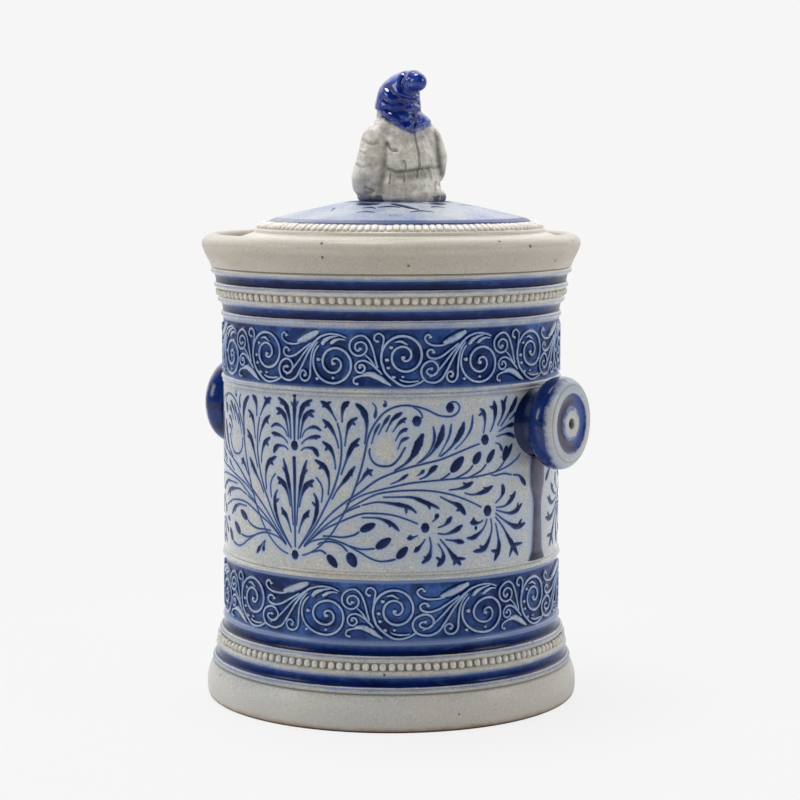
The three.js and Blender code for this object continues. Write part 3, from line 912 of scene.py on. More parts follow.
def end_band_rows(foot, foot_radius, top_radius, kinds):
    """Rows of the bands between a frieze and the foot or the rim, from the lowest up."""
    whole = sum(BAND_HEIGHTS[kind] for kind in kinds)
    rows = []
    base = foot
    for kind, before, following in zip(kinds, ("frieze", *kinds), (*kinds[1:], "frieze")):
        run_over = RUN_OVER if before == "frieze" else 0.0
        for step in range(BAND_STEPS[kind]):
            share = step / BAND_STEPS[kind]
            bow = 1 - abs(2 * share - 1) ** BAND_EDGES[kind]
            level = base + share * BAND_HEIGHTS[kind]
            radius = foot_radius + (top_radius - foot_radius) * (level - foot) / whole
            bled = max(share if following == "stripe" else 1 - share, run_over)
            under = 0.0
            if following == "frieze":
                bled = 1.0
                under = UNDERPAINT * (1 - float(ease(share, 0.05, 0.4)))
            # Painted shade in the groove and behind the beads; a stripe's mark rising to its lower edge
            # carries pooled glaze and painted light
            marks = {
                "groove": {"recess": 0.7},
                "beads": {"recess": bow},
                "ridge": {"bled": bled, "frieze": under},
                "stripe": {"cobalt": min(1.0, 0.2 + bow), "pooled": 1 - share},
            }
            rows.append(row(radius + BAND_RELIEFS[kind] * bow, level, **marks[kind]))
        base += BAND_HEIGHTS[kind]
    return rows


def frieze_rows(foot):
    """Rows of a frieze's sunk ground."""
    rows = []
    for share in np.linspace(0, 1, FRIEZE_STEPS + 1)[:-1]:
        bow = 1 - abs(2 * share - 1) ** FRIEZE_EDGE
        rows.append(row(WALL_RADIUS - FRIEZE_RECESS * bow, foot + share * FRIEZE_HEIGHT,
                        frieze=max(bow, 0.5), bled=1.0))
    return rows


def moulding_rows(foot, up):
    """Rows of a moulding: a low bead by the panel, a high one by the frieze, which bled blue onto it, with
    painted shade in its seams.
    """
    rows = []
    for share in np.linspace(0, 1, MOULDING_STEPS + 1)[:-1]:
        near = share if up else 1 - share
        low = 0.5 * (1 - (near / MOULDING_SPLIT * 2 - 1) ** 2)
        high = 1 - ((near - MOULDING_SPLIT) / (1 - MOULDING_SPLIT) * 2 - 1) ** 2
        bow = high if near > MOULDING_SPLIT else low
        # Painted shade in the seams beside and between the moulding's beads
        seam = 1 - min(1.0, bow / 0.3)
        rows.append(row(WALL_RADIUS + MOULDING_RELIEF * bow, foot + share * MOULDING_HEIGHT,
                        bled=max(0.5 * up, float(ease(near, 0.75, 1.0))), recess=0.5 * seam))
    return rows


def jar_rows():
    """The jar's whole outline, from the middle of its base round to the middle of its floor."""
    rows = [row(0.0, RECESS_DEPTH), row(RECESS_RADIUS, RECESS_DEPTH),
            row(RECESS_RADIUS + 0.5, RECESS_DEPTH - 0.3), row(RECESS_RADIUS + 1.2, 0.0)]
    rows += [row(*point) for point in smooth_line(FOOT_CURVE, CURVE_GAP)[:-1]]
    rows += end_band_rows(FOOT_HEIGHT, FOOT_RADIUS, WALL_RADIUS, END_BANDS)
    rows += frieze_rows(LOWER_FRIEZE_FOOT)
    rows += moulding_rows(PANEL_FOOT - MOULDING_HEIGHT, False)
    rows += [row(WALL_RADIUS, level) for level in np.linspace(PANEL_FOOT, PANEL_TOP, PANEL_STEPS + 1)[:-1]]
    rows += moulding_rows(PANEL_TOP, True)
    rows += frieze_rows(UPPER_FRIEZE_FOOT)
    rows += end_band_rows(UPPER_FRIEZE_FOOT + FRIEZE_HEIGHT, WALL_RADIUS, RIM_RADIUS, END_BANDS[::-1])
    rows += [row(*point) for point in smooth_line(RIM_CURVE, CURVE_GAP)]
    rows += [row(GALLERY_RADIUS - 0.4, SEAT_HEIGHT), row(MOUTH_RADIUS + 0.7, SEAT_HEIGHT),
             row(MOUTH_RADIUS + 0.2, SEAT_HEIGHT - 0.2), row(MOUTH_RADIUS, SEAT_HEIGHT - 0.8),
             row(MOUTH_RADIUS, LEDGE_UNDERSIDE + 0.4), row(MOUTH_RADIUS + 0.2, LEDGE_UNDERSIDE),
             row(CHAMBER_RADIUS, LEDGE_ROOT)]
    chamber = np.linspace(CHAMBER_TOP, FLOOR_HEIGHT + FLOOR_FILLET, CHAMBER_STEPS)
    rows += [row(CHAMBER_RADIUS, level) for level in chamber]
    for step in range(1, FILLET_STEPS + 1):
        angle = step * math.pi / (2 * FILLET_STEPS)
        rows.append(row(CHAMBER_RADIUS - FLOOR_FILLET * (1 - math.cos(angle)),
                        FLOOR_HEIGHT + FLOOR_FILLET * (1 - math.sin(angle))))
    rows.append(row(0.0, FLOOR_HEIGHT))
    return rows


def mark_wall(piece, rows):
    """Gives the wall's vertices the marks of their rows, and the halo of the strokes drawn on it."""
    points = points_of(piece)
    radius = np.hypot(points[:, 0], points[:, 1])
    table = np.array(rows)
    nearest = np.empty(len(points), int)
    for first in range(0, len(points), BATCH):
        part = slice(first, first + BATCH)
        apart = np.abs(radius[part, None] - table[:, 0]) + np.abs(points[part, 2, None] - table[:, 1])
        nearest[part] = apart.argmin(axis=1)
    for column, mark in enumerate(MARKS, start=2):
        carry(piece, mark, table[nearest, column])
    carry(piece, "halo", spray_halo(points, radius))


def spray_halo(points, radius):
    """How near each point of the wall is to a stroke of the spray, from 0 to 1."""
    strokes = Drawing(STROKE_SECTION, 0.0)
    draw_spray(strokes)
    middles = np.array(strokes.middles)
    angle = np.arctan2(points[:, 0], -points[:, 1])
    angle = np.where(np.abs(angle) > math.pi / 2, angle - np.sign(angle) * math.pi, angle)
    halo = np.zeros(len(points))
    panel = (points[:, 2] > PANEL_FOOT) & (points[:, 2] < PANEL_TOP) & (radius > WALL_RADIUS - 1)
    for index in np.nonzero(panel)[0]:
        gaps = np.hypot(middles[:, 0] - angle[index] * WALL_RADIUS, middles[:, 1] - points[index, 2])
        halo[index] = (gaps - middles[:, 2]).min()
    strap = np.abs(np.abs(angle) - math.pi / 2) * WALL_RADIUS - STRAP_HALF
    halo = np.where(points[:, 2] < HANDLE_HEIGHT, np.minimum(halo, strap), halo)
    return np.where(panel, 1 - ease(halo, HALO_START, HALO_END), 0.0)


# Incised spray of the panels, as read off the wall: along it and up it, with its axis at SPRAY_AXIS

STROKE_SECTION = ((-1.0, -0.4, -0.2, 0.0), (-1.0, -0.06, 0.3, 0.2), (-0.9, 0.0, 0.9, 0.45),
                  (-0.72, 0.0, 1.0, 0.8), (-0.4, 0.0, 0.5, 1.0), (0.0, 0.0, 0.4, 1.0),
                  (0.4, 0.0, 0.5, 1.0), (0.72, 0.0, 1.0, 0.8), (0.9, 0.0, 0.9, 0.45),
                  (1.0, 0.06, 0.3, 0.2), (1.0, 0.5, -0.2, 0.0))
SPRAY_AXIS = 2.1
BRUSH_SHAKE = 0.08
# Shares of a stroke's width from its root to its tip, and where a leaf's barbs leave it
LEAF_WIDTHS = (0.18, 0.2, 0.22, 0.28, 0.44, 0.74, 1.02, 1.0, 0.7, 0.22)
LEAF_BARB = 0.74
BARB_WIDTHS = (0.8, 0.6, 0.15)
POD_WIDTHS = (0.3, 0.85, 1.0, 0.75, 0.2)
STEM_WIDTHS = (0.34, 0.54, 0.54, 0.46)
# Widths in millimetres
POD_STEM_WIDTHS = (0.3, 0.36, 0.4)
CLUB_WIDTHS = (0.35, 0.45, 0.6, 0.9, 1.1)
BUD_WIDTHS = (0.4, 0.5, 0.8, 1.3, 0.8)
# Width, points and the tips of its barbs, where it has any
SPRAY_LEAVES = (
    (1.5, ((3.5, 91.7), (3.75, 96.3), (4.4, 100), (5.8, 103.1), (9, 105.1)), (8.3, 103.3)),
    (1.5, ((4.2, 92.1), (5, 96.25), (6, 99.2), (7.9, 101), (9.9, 101.5)), (9.6, 99.4)),
    (0.9, ((4.8, 92.5), (6, 94.8), (7.9, 96), (10, 96.25), (12.1, 95.1))),
    (1.2, ((4.6, 90.4), (6, 91.9), (7.9, 92.8), (10.8, 93.3), (11.9, 93.2)), (10.4, 92.1)),
    (1.4, ((4.4, 88.3), (5.8, 89.4), (7.9, 89.6), (9.6, 89), (11, 86.7))),
    (1.3, ((2.7, 64), (3.4, 71.6), (4.3, 76.9), (5.2, 80.7), (6.0, 83.6), (6.8, 85.8)), (7.2, 82.9)),
    (1.6, ((3.75, 70), (4.8, 74.2), (6.25, 77.1), (7.9, 78.5), (9.5, 79.5)), (9.2, 77.1)),
    (1.3, ((3.5, 61.7), (4.4, 64.6), (5.6, 67.1), (6.7, 68.3), (7.7, 69.9)), (7.7, 67.3)),
    (1.2, ((3.3, 56.7), (8.3, 64.2), (10, 68.3), (10.4, 71.7), (10, 73.75), (9, 75.4)), (8.3, 72.5)),
    (1.5, ((14.2, 74.6), (14.6, 78.75), (14, 82.1), (12.5, 84.2), (9.4, 86)), (10.8, 82.9)),
    (1.5, ((17.3, 98.3), (15.8, 100.8), (14, 103.2), (11.5, 104.8)), (12.1, 102.7), (15.5, 104.8)),
    (1.3, ((16.7, 82.9), (16.5, 85.8), (15.8, 88.3), (14.6, 90.2), (12.1, 92)), (13.1, 88.75)),
    (1.3, ((17.9, 89.6), (17.3, 92.1), (16.25, 94.6), (14.6, 97.1), (12.1, 99.1)), (12.9, 96)),
    (1.5, ((18.5, 81.25), (20, 85.4), (21.5, 89.2), (22.9, 91.5), (24.8, 93.5)), (24.8, 91.25)),
    (1.2, ((19.8, 90.4), (20.2, 93.3), (20.8, 96.25), (21.9, 98.5), (24.2, 99.9)), (23.5, 97.3)),
    (1.6, ((19, 97.9), (19, 100.8), (19.6, 103.3), (21.5, 105)), (21, 103.1)),
    (1.3, ((15.4, 73.3), (17.3, 76.7), (20, 80), (21.7, 82.3), (23.3, 84.6)), (22.5, 81.25)),
    (1.2, ((25, 71.9), (30, 73.1), (34.6, 72.7), (38.75, 71.9), (41.25, 70.8), (42.7, 69.4)), (39.4, 69.2)),
    (1.2, ((25, 68.1), (29.6, 68.1), (32.1, 67.5), (35, 66), (37.3, 63.75)), (33.75, 65)),
    (0.7, ((28.3, 91.25), (29.6, 95.4), (31.25, 98.3))),
    (0.9, ((30.4, 94.2), (32.1, 97.5), (34.4, 101))),
    (1.2, ((32.9, 95.2), (35, 99.2), (38.3, 101.7))),
    (1.0, ((35, 95.2), (37.1, 98.1), (39.6, 100)), (39.2, 98.1)),
    (1.0, ((35.8, 92.3), (37.5, 95.2), (40, 96.6)), (39.6, 95.4)),
    (0.9, ((36.6, 89.6), (37.9, 92.5), (40.4, 93.7))),
    (0.8, ((28.5, 104.8), (29.8, 102.9), (29.4, 99.4))),
    (1.1, ((32.3, 105.4), (32.9, 104.6), (32.3, 103.1))),
    (1.8, ((26.25, 91.25), (26.9, 96.25), (26.7, 99.6), (25.4, 102.5), (23.1, 104.4))),
    (1.2, ((23.3, 77.9), (25.2, 80), (26.7, 82.1), (29, 83.5)), (27.1, 84.2), (28.75, 81.25)),
    (2.4, ((35.4, 82.9), (39.2, 85.4), (41.7, 88.3), (43.3, 91.7), (44.8, 95))),
    (0.7, ((42.5, 85), (45.8, 87.9), (47.7, 90.8), (48.4, 93.75), (47.9, 97.3))),
    (1.8, ((43.3, 85.4), (47.1, 88.3), (49.6, 91.7), (50.8, 94.6), (51.25, 97.7))),
    (0.6, ((49.6, 87.1), (53.1, 93.3), (54, 97.9))),
    (1.8, ((50, 87.1), (53.3, 89.6), (55.8, 92.5), (57.7, 95.8), (58.3, 98.3))),
    (0.6, ((55, 89.2), (58.3, 92.1), (60.8, 95.8), (61.5, 100.4))),
    (0.8, ((34.2, 78.75), (37.1, 80), (40.2, 82.1))),
    (0.9, ((42.5, 81.25), (44.2, 82.3), (45.2, 83.5))),
    (1.5, ((43.3, 80.2), (45.8, 81.25), (47.7, 83.3), (49.6, 84.6))),
    (1.6, ((77.5, 79.6), (80.4, 79.2), (82.5, 77.5), (84.4, 75.4))),
    (1.6, ((50, 74.7), (53.3, 72.9), (56.7, 71.25), (59, 68.1)), (55.6, 69.6)),
    (1.2, ((31.7, 74.7), (40, 74.7), (42.9, 74), (45.8, 72.7), (48.3, 71.7), (50.2, 70.6)), (47.1, 70.4)),
    (1.3, ((52.9, 76.5), (55.8, 76.7), (58.3, 77.1), (61.9, 78.75)), (57.7, 78.75)),
    (1.5, ((58.3, 75.4), (61.25, 74.6), (65.2, 75.1), (69.4, 76.9)), (65.2, 76.7)),
    (1.2, ((65.4, 93.75), (66, 97.9), (65.2, 101), (63.75, 102)), (63.3, 99.6)),
    (1.5, ((67.9, 94), (69.4, 97.1), (70, 100.4), (69.4, 104.4)), (67.5, 102.5)),
    (1.5, ((70.8, 95.8), (72.9, 99.2), (73.5, 102.1), (72.3, 104.4)), (75, 105.6)),
    (1.6, ((72.1, 95.6), (75.4, 99.2), (77.9, 102.1), (79.6, 105))),
    (1.0, ((75.8, 97.5), (78, 98.8), (80, 99.8))),
    (1.2, ((71.25, 94), (74.6, 95.4), (79.6, 96.25))),
    (1.2, ((70.2, 92.5), (73.75, 93.1), (76.7, 92.7), (78.75, 91.5))),
    (0.9, ((69.8, 90.6), (71.7, 90), (73.1, 87.5))),
    (1.5, ((70, 71), (72.5, 72.9), (73.5, 75), (72.9, 77.3))),
    (1.5, ((70.2, 69.8), (73.75, 69.8), (76.25, 71), (77.9, 72.5), (79.2, 74.4)), (76.25, 73.3)),
    (1.4, ((70.2, 69), (73.75, 67.9), (77.1, 67.3), (80, 68.1), (82.5, 70)), (80.4, 70.6)),
    (1.6, ((70, 68.1), (73.75, 65.4), (77.9, 63.1), (80.8, 62.5), (84.4, 63.3)), (82.5, 65)),
    (1.6, ((70, 66.9), (72.9, 63.75), (75.8, 59.6), (77.9, 56.7), (80.6, 52.9)), (82.9, 56.9),
     (76.25, 52.9)),
    (1.7, ((70.2, 65), (71.25, 60.8), (71.7, 56.7), (69.8, 52.3)), (68.3, 56)),
    (1.5, ((68.3, 66.7), (68.75, 62.9), (67.5, 59.2), (65.4, 56.7), (61.5, 56.25)), (64, 58.3)),
    (1.3, ((66.9, 66.7), (66.25, 64.6), (64.6, 62.5), (61.7, 60.8), (59.2, 60.8))),
    (1.6, ((65.6, 66.25), (63.75, 65.4), (60.4, 65.8)), (61.7, 67.5)),
    (1.2, ((47.5, 66.5), (48.75, 67.5), (49.6, 69.4))),
    (1.3, ((49.2, 64.6), (51.7, 65.4), (53.3, 66.9), (54.2, 68.3))),
    (1.4, ((49.2, 62.9), (52.1, 62.5), (55.4, 63.5), (58.1, 65.2))),
    (1.3, ((51.7, 60.8), (55, 60.2), (58.75, 59.4))),
    (1.6, ((50, 61.25), (52.5, 58.3), (54.6, 55.4), (57.5, 52.1)), (54.8, 52.1), (59.2, 54.2)),
    (1.5, ((49.4, 59.8), (51, 57.1), (51.25, 54.6), (49.2, 52.1)), (48.75, 55.4)),
    (1.4, ((46.7, 62.1), (47.3, 58.75), (46.5, 55.4), (44.2, 53.3)), (44.8, 55.8)),
    (1.2, ((45.6, 61.5), (44, 59.2), (41.7, 56.9)), (42.3, 59)),
    (1.1, ((43.3, 62.5), (41, 61.7), (39.4, 61.5)), (41, 62.9)),
)
# Width and points
SPRAY_STEMS = (
    (0.6, ((11.9, 72.1), (12.3, 75.8), (11.7, 78.3), (9.8, 80.6))),
    (0.7, ((3.3, 56.7), (9.6, 64.6), (13.3, 71.25), (15.8, 76.25), (17.5, 81.25), (18.5, 85.8),
           (18.75, 90.4), (18.3, 94.6), (17.3, 98.3))),
    (0.7, ((5.4, 57.9), (10, 63.3), (15, 68.75), (20, 72.9), (25, 76.3), (30, 80), (35, 82.3), (40, 84),
           (45, 85.2), (50, 86.25), (55, 87.9), (60, 89.6), (64.2, 90.8))),
    (0.6, ((5.4, 57.7), (13.3, 65), (20, 69.6), (25, 71.9))),
    (0.6, ((5.4, 57.6), (12, 63.2), (19.2, 66.9), (25, 69.2), (30, 69.5), (35, 69), (39.2, 67.7),
           (43.3, 66))),
    (0.7, ((4.6, 54.8), (7.5, 55.8), (10.8, 57.9), (15, 62.1), (18.75, 67.9), (21.25, 72.9), (23.3, 77.9),
           (25, 83.3), (26.25, 88.3), (27.3, 93.3), (28.75, 96.7), (30.4, 99.2), (32.5, 101.5),
           (35.4, 103.1), (38.75, 103.75), (42.5, 103.3), (45.8, 102.3), (49.2, 100.6), (51.7, 100),
           (54.2, 100), (56, 101), (56.75, 102.7), (55.8, 104.2), (54.2, 104.5), (52.5, 103.75))),
    (0.6, ((41.25, 103.3), (43.3, 102.1), (44.4, 100.2), (43.4, 98.9))),
    (0.8, ((28.1, 90.4), (27.7, 89.2), (28.3, 86.7), (30, 85), (32.5, 84.5), (35, 85), (37.1, 87.1),
           (38.3, 89.2), (39.2, 90.8))),
    (0.6, ((20, 72), (25, 75), (30, 76.7), (35, 77.9), (40, 79), (45, 79.5), (50, 79.8), (55, 80),
           (60, 80.1), (65, 80.5), (70, 81.25), (75, 82.5), (79.2, 84.4), (81.7, 86.5))),
    (0.6, ((68, 80.6), (70, 80.1), (73.75, 80.4), (77.5, 79.6))),
    (0.6, ((19, 69.5), (25, 73.1), (30, 75.6), (35, 76.5), (40, 76.8), (45, 76.7), (50, 76), (55, 74.7),
           (60, 72.7), (65, 70.2))),
    (0.6, ((5.4, 57.5), (7.9, 59.4), (10.8, 60.4), (14.2, 60.8), (17.5, 60.2), (20.8, 59), (25, 56.8),
           (28.3, 55), (31.7, 54.2), (36.25, 55))),
)
# Width, the pod's tip and its stem's points
SPRAY_PODS = (
    (3.0, (58.25, 87.1), ((50, 79.9), (51.7, 80.6), (53.75, 82.1))),
    (2.6, (64.4, 88.3), ((55, 80), (57.1, 80.8), (60, 82.3), (61.7, 84.2))),
    (2.0, (69.8, 88.75), ((60, 80.1), (61.25, 80.6), (64.6, 82.1), (66.7, 84.2))),
    (2.4, (75, 89.6), ((70, 81.25), (72.1, 82.5), (73.75, 84.2))),
    (1.6, (77.5, 90), ((72.1, 82.5), (74.3, 84.8))),
    (2.4, (39.9, 59), ((31.7, 54.2), (34, 54.4), (36.25, 55))),
    (2.6, (34.7, 61.7), ((20.8, 59), (25, 58), (29.6, 58.3))),
    (2.4, (29.8, 66.25), ((12, 61.6), (15, 61.7), (19.2, 61.6), (22.9, 62.5), (24.6, 63.75))),
)
# Pods of the right half only, and leaves of the left half only
SPRAY_RIGHT_PODS = (
    (2.5, (17.3, 51.7), ((8, 56), (9.6, 56.5), (11.7, 56.9), (13.75, 55.8))),
    (3.2, (23.3, 52.1), ((10.4, 58.6), (11.7, 59.4), (15, 60), (18.3, 59.2), (20.8, 56.9))),
)
SPRAY_LEFT_LEAVES = (
    (1.2, ((14.9, 58.3), (16.5, 56.8), (18.2, 55), (19.6, 53.2))),
    (1.2, ((14.9, 58.3), (15.6, 56.5), (16.2, 54.2))),
)
# Along, up and radius, in each half and on the axis
SPRAY_DOTS = ((53.5, 102.7, 1.5), (42.7, 98.75, 1.6), (66, 91.9, 1.6), (67.1, 69, 1.7), (45.4, 64.8, 1.5),
              (62.7, 63.75, 0.6))
SPRAY_MIDDLE_DOTS = ((2.1, 54.8, 1.45), (2.1, 90, 1.5), (2.2, 105.9, 0.75))
SPRAY_CLUB = ((2.2, 57), (2.1, 70), (2.1, 80), (1.9, 86.8))
SPRAY_BUD = ((2.1, 91), (2.1, 98), (2.3, 105.4))
SPRAY_BUD_ROOT = (2.2, 102)
SPRAY_BUD_TIPS = ((0.6, 104.2), (3.8, 104.6))


def draw_spray(drawing):
    """Draws a panel's spray: both halves, and the club and bud on its axis."""
    def shifted(points, side):
        return [np.array((side * (along - SPRAY_AXIS), up)) for along, up in points]

    for side in (-1, 1):
        for width, points, *tips in SPRAY_LEAVES + (SPRAY_LEFT_LEAVES if side < 0 else ()):
            drawing.stroke(shifted(points, side), scaled(width, LEAF_WIDTHS), shake=BRUSH_SHAKE)
            line = smooth_line(shifted(points, side), 0.5)
            root = line[int(LEAF_BARB * len(line))]
            for tip in shifted(tips, side):
                drawing.stroke((root, tip), scaled(width, BARB_WIDTHS))
        for width, points in SPRAY_STEMS:
            drawing.stroke(shifted(points, side), scaled(width, STEM_WIDTHS), shake=BRUSH_SHAKE)
        for width, tip, stem in SPRAY_PODS + (SPRAY_RIGHT_PODS if side > 0 else ()):
            drawing.stroke(shifted(stem, side), POD_STEM_WIDTHS)
            drawing.stroke(shifted((stem[-1], tip), side), scaled(width, POD_WIDTHS))
        for along, up, radius in SPRAY_DOTS:
            drawing.dot((side * (along - SPRAY_AXIS), up), radius)
    drawing.stroke(shifted(SPRAY_CLUB, 1), CLUB_WIDTHS)
    drawing.stroke(shifted(SPRAY_BUD, 1), BUD_WIDTHS)
    for tip in SPRAY_BUD_TIPS:
        drawing.stroke(shifted((SPRAY_BUD_ROOT, tip), 1), BARB_WIDTHS)
    for along, up, radius in SPRAY_MIDDLE_DOTS:
        drawing.dot((along - SPRAY_AXIS, up), radius)


# Scrolls of the friezes, as read off one repeat of the upper one

SCROLL_SECTION = both_halves(((-1.0, -0.75, -0.08, 0.0), (-1.0, -0.1, 0.12, 0.12), (-0.92, 0.0, 0.5, 0.4),
                              (-0.5, 0.0, 0.93, 0.85), (0.0, 0.0, 1.0, 1.0)))
SCROLL_RADIUS = 57.0
# Pitch and start of the repeat as read, and of the friezes that are drawn from it
SCROLL_PITCH = 48.1
SCROLL_START = -9.5
UPPER_START = -9.2
LOWER_PITCH = 53.4
LOWER_START = -17.2
FRONT_REPEATS = 4
BACK_REPEATS = 3
# The leaf cluster, which takes up what a pitch is longer or shorter
CLUSTER_RIGHT = 14.2
CLUSTER_WIDTH = 20.3
SPIRAL_STEP = 15
SPIRAL_WIDTHS = (0.9, 1.05, 1.05, 0.9)
# Widths along the line and points
SCROLL_LINES = (
    ((0.9, 1.0, 1.0, 1.0, 1.0, 0.7),
     ((-3.1, 115.3), (-4.1, 115.0), (-4.3, 114.0), (-3.4, 113.3), (-2.0, 113.2), (-0.9, 114.3),
      (-0.7, 115.9), (-1.9, 117.4), (-3.5, 117.6), (-5.3, 116.5), (-6.1, 114.5), (-5.4, 112.2),
      (-3.8, 111.1), (-1.5, 110.9), (0.7, 112.1), (2.2, 114.5), (3.5, 116.8), (5.0, 119.6),
      (6.8, 122.2), (8.7, 124.5), (10.8, 125.6), (13.1, 126.1), (15.8, 125.8), (18.4, 124.8))),
    ((0.8, 0.9, 0.9, 0.7),
     ((8.4, 124.4), (6.7, 122.8), (4.1, 120.2), (2.0, 117.6), (0.1, 115.4), (-1.7, 113.6), (-3.6, 112.5))),
    ((0.9, 0.9, 0.8), ((-3.0, 125.4), (-4.0, 126.0), (-4.9, 125.0), (-4.3, 123.6), (-2.4, 122.6),
                       (0.4, 122.5), (2.6, 123.1))),
    ((0.9, 1.0, 0.8), ((-1.9, 120.3), (-2.5, 121.1), (-3.5, 121.2), (-4.2, 120.2), (-3.6, 118.9),
                       (-1.8, 118.4), (0.6, 119.1), (3.2, 120.9), (6.4, 123.2))),
    ((0.9, 0.9, 0.9, 0.8),
     ((4.0, 112.6), (4.4, 113.4), (3.5, 114.3), (2.4, 113.6), (2.3, 112.2), (3.2, 111.1), (4.7, 111.1),
      (5.8, 112.6), (6.0, 115.6), (6.3, 118.7), (7.1, 121.3), (8.7, 123.6))),
    ((1.8, 1.7, 1.0, 0.5), ((9.9, 122.4), (11.0, 123.9), (13.1, 125.0), (15.8, 125.6))),
    ((1.5, 1.5, 0.9, 0.4), ((12.8, 122.8), (14.4, 124.0), (16.2, 124.5), (18.1, 124.2))),
    ((0.8, 0.9, 0.9, 0.9, 0.9),
     ((28.3, 115.4), (27.5, 118.3), (26.7, 121.4), (25.4, 124.3), (23.5, 125.7), (21.3, 125.3),
      (19.5, 123.6), (19.5, 121.2), (21.1, 119.6), (23.1, 119.5), (24.6, 120.8), (24.6, 122.7),
      (23.1, 123.7), (21.4, 123.1), (21.1, 121.7), (22.1, 120.9), (22.9, 121.7))),
    ((0.7, 0.8, 0.7), ((24.0, 119.9), (25.8, 118.3), (27.7, 115.7), (29.4, 114.0))),
    ((0.7, 0.9, 0.9, 0.9),
     ((29.8, 113.4), (28.1, 115.1), (26.2, 116.8), (24.2, 117.8), (22.3, 117.6), (21.1, 116.2),
      (21.6, 114.5), (23.1, 114.1), (24.2, 115.2), (23.7, 116.4), (22.6, 116.4), (22.5, 115.6))),
    ((0.9, 0.8, 0.7), ((28.3, 123.8), (27.2, 124.5), (27.5, 125.9), (28.8, 126.4), (30.1, 125.3),
                       (30.0, 123.4), (29.4, 121.0))),
    ((0.8, 0.9, 0.8), ((21.5, 110.3), (20.6, 111.0), (20.8, 112.2), (22.3, 112.9), (24.5, 113.4))),
    ((0.7, 0.8, 0.7), ((35.0, 112.0), (36.6, 111.4), (38.8, 111.2), (41.5, 111.5))),
    ((0.5, 1.1, 0.5), ((33.6, 123.6), (35.6, 123.9), (37.8, 122.7))),
    ((1.4, 3.0, 2.9, 1.6), ((1.0, 123.1), (4.2, 124.4), (7.0, 125.8), (9.1, 126.9))),
    ((1.2, 2.5, 2.2, 0.6), ((23.2, 113.2), (25.8, 113.6), (28.5, 112.6), (30.5, 111.3), (32.6, 110.0))),
)
# Centre, first and last angle in degrees, first and last radius, and the points that lead into it
SCROLL_SPIRALS = (
    ((14.2, 116.9), (132, 900), (7.6, 0.6), ()),
    ((36.6, 119.2), (-150, -870), (7.5, 0.8),
     ((43.4, 112.1), (41.5, 110.9), (39.0, 110.0), (36.5, 109.95), (34.4, 110.9), (32.2, 112.6),
      (30.5, 114.4))),
)
# Along, up and radius
SCROLL_DOTS = ((8.8, 117.9, 0.8), (8.3, 111.8, 0.65), (13.8, 112.2, 0.6), (32.5, 122.0, 0.7),
               (31.2, 118.1, 0.75), (31.6, 115.6, 0.7), (33.2, 112.7, 0.7), (36.2, 112.8, 0.55),
               (13.9, 116.7, 0.8), (36.3, 118.8, 0.75), (-2.9, 115.2, 0.7), (3.9, 112.7, 0.65),
               (22.7, 121.5, 0.7), (22.6, 115.7, 0.6), (-3.1, 125.2, 0.65), (-2.1, 120.4, 0.65),
               (28.2, 123.9, 0.6), (21.6, 110.5, 0.6))


def draw_frieze(drawing, start, front_pitch, rise):
    """Draws a frieze's repeats: the front ones at their own pitch, and the back ones sharing the rest."""
    around = 2 * math.pi * SCROLL_RADIUS
    back_pitch = (around - FRONT_REPEATS * front_pitch) / BACK_REPEATS
    begin = start - front_pitch
    for pitch in [front_pitch] * FRONT_REPEATS + [back_pitch] * BACK_REPEATS:
        spread = (pitch - SCROLL_PITCH) / CLUSTER_WIDTH
        unit = begin + pitch - SCROLL_PITCH - SCROLL_START

        def placed(points):
            return [(unit + along - spread * min(max(CLUSTER_RIGHT - along, 0.0), CLUSTER_WIDTH), up + rise)
                    for along, up in points]

        for widths, points in SCROLL_LINES:
            drawing.stroke(placed(points), widths)
        for centre, angles, radii, lead in SCROLL_SPIRALS:
            turns = np.linspace(0, 1, int(abs(angles[1] - angles[0]) / SPIRAL_STEP) + 1)
            angle = np.radians(angles[0] + (angles[1] - angles[0]) * turns)
            radius = radii[0] + (radii[1] - radii[0]) * turns
            coil = np.stack((centre[0] + radius * np.cos(angle), centre[1] + radius * np.sin(angle)), axis=1)
            drawing.stroke(placed([*lead, *coil]), SPIRAL_WIDTHS, gap=0.6)
        for along, up, radius in SCROLL_DOTS:
            drawing.dot(placed([(along, up)])[0], radius)
        begin += pitch


# Bead rows, handles and straps

# Radius and height of the wall's rows
LOWER_BEAD_ROW = (58.4, 20.55)
UPPER_BEAD_ROW = (58.2, 136.55)
# Depth and rise of a bead, in shares of its width
WALL_BEAD = (0.68, 1.1)
LID_BEAD = (0.8, 1.75)
BEAD_ROUNDING = 0.38
BEAD_UNEVEN = 0.07


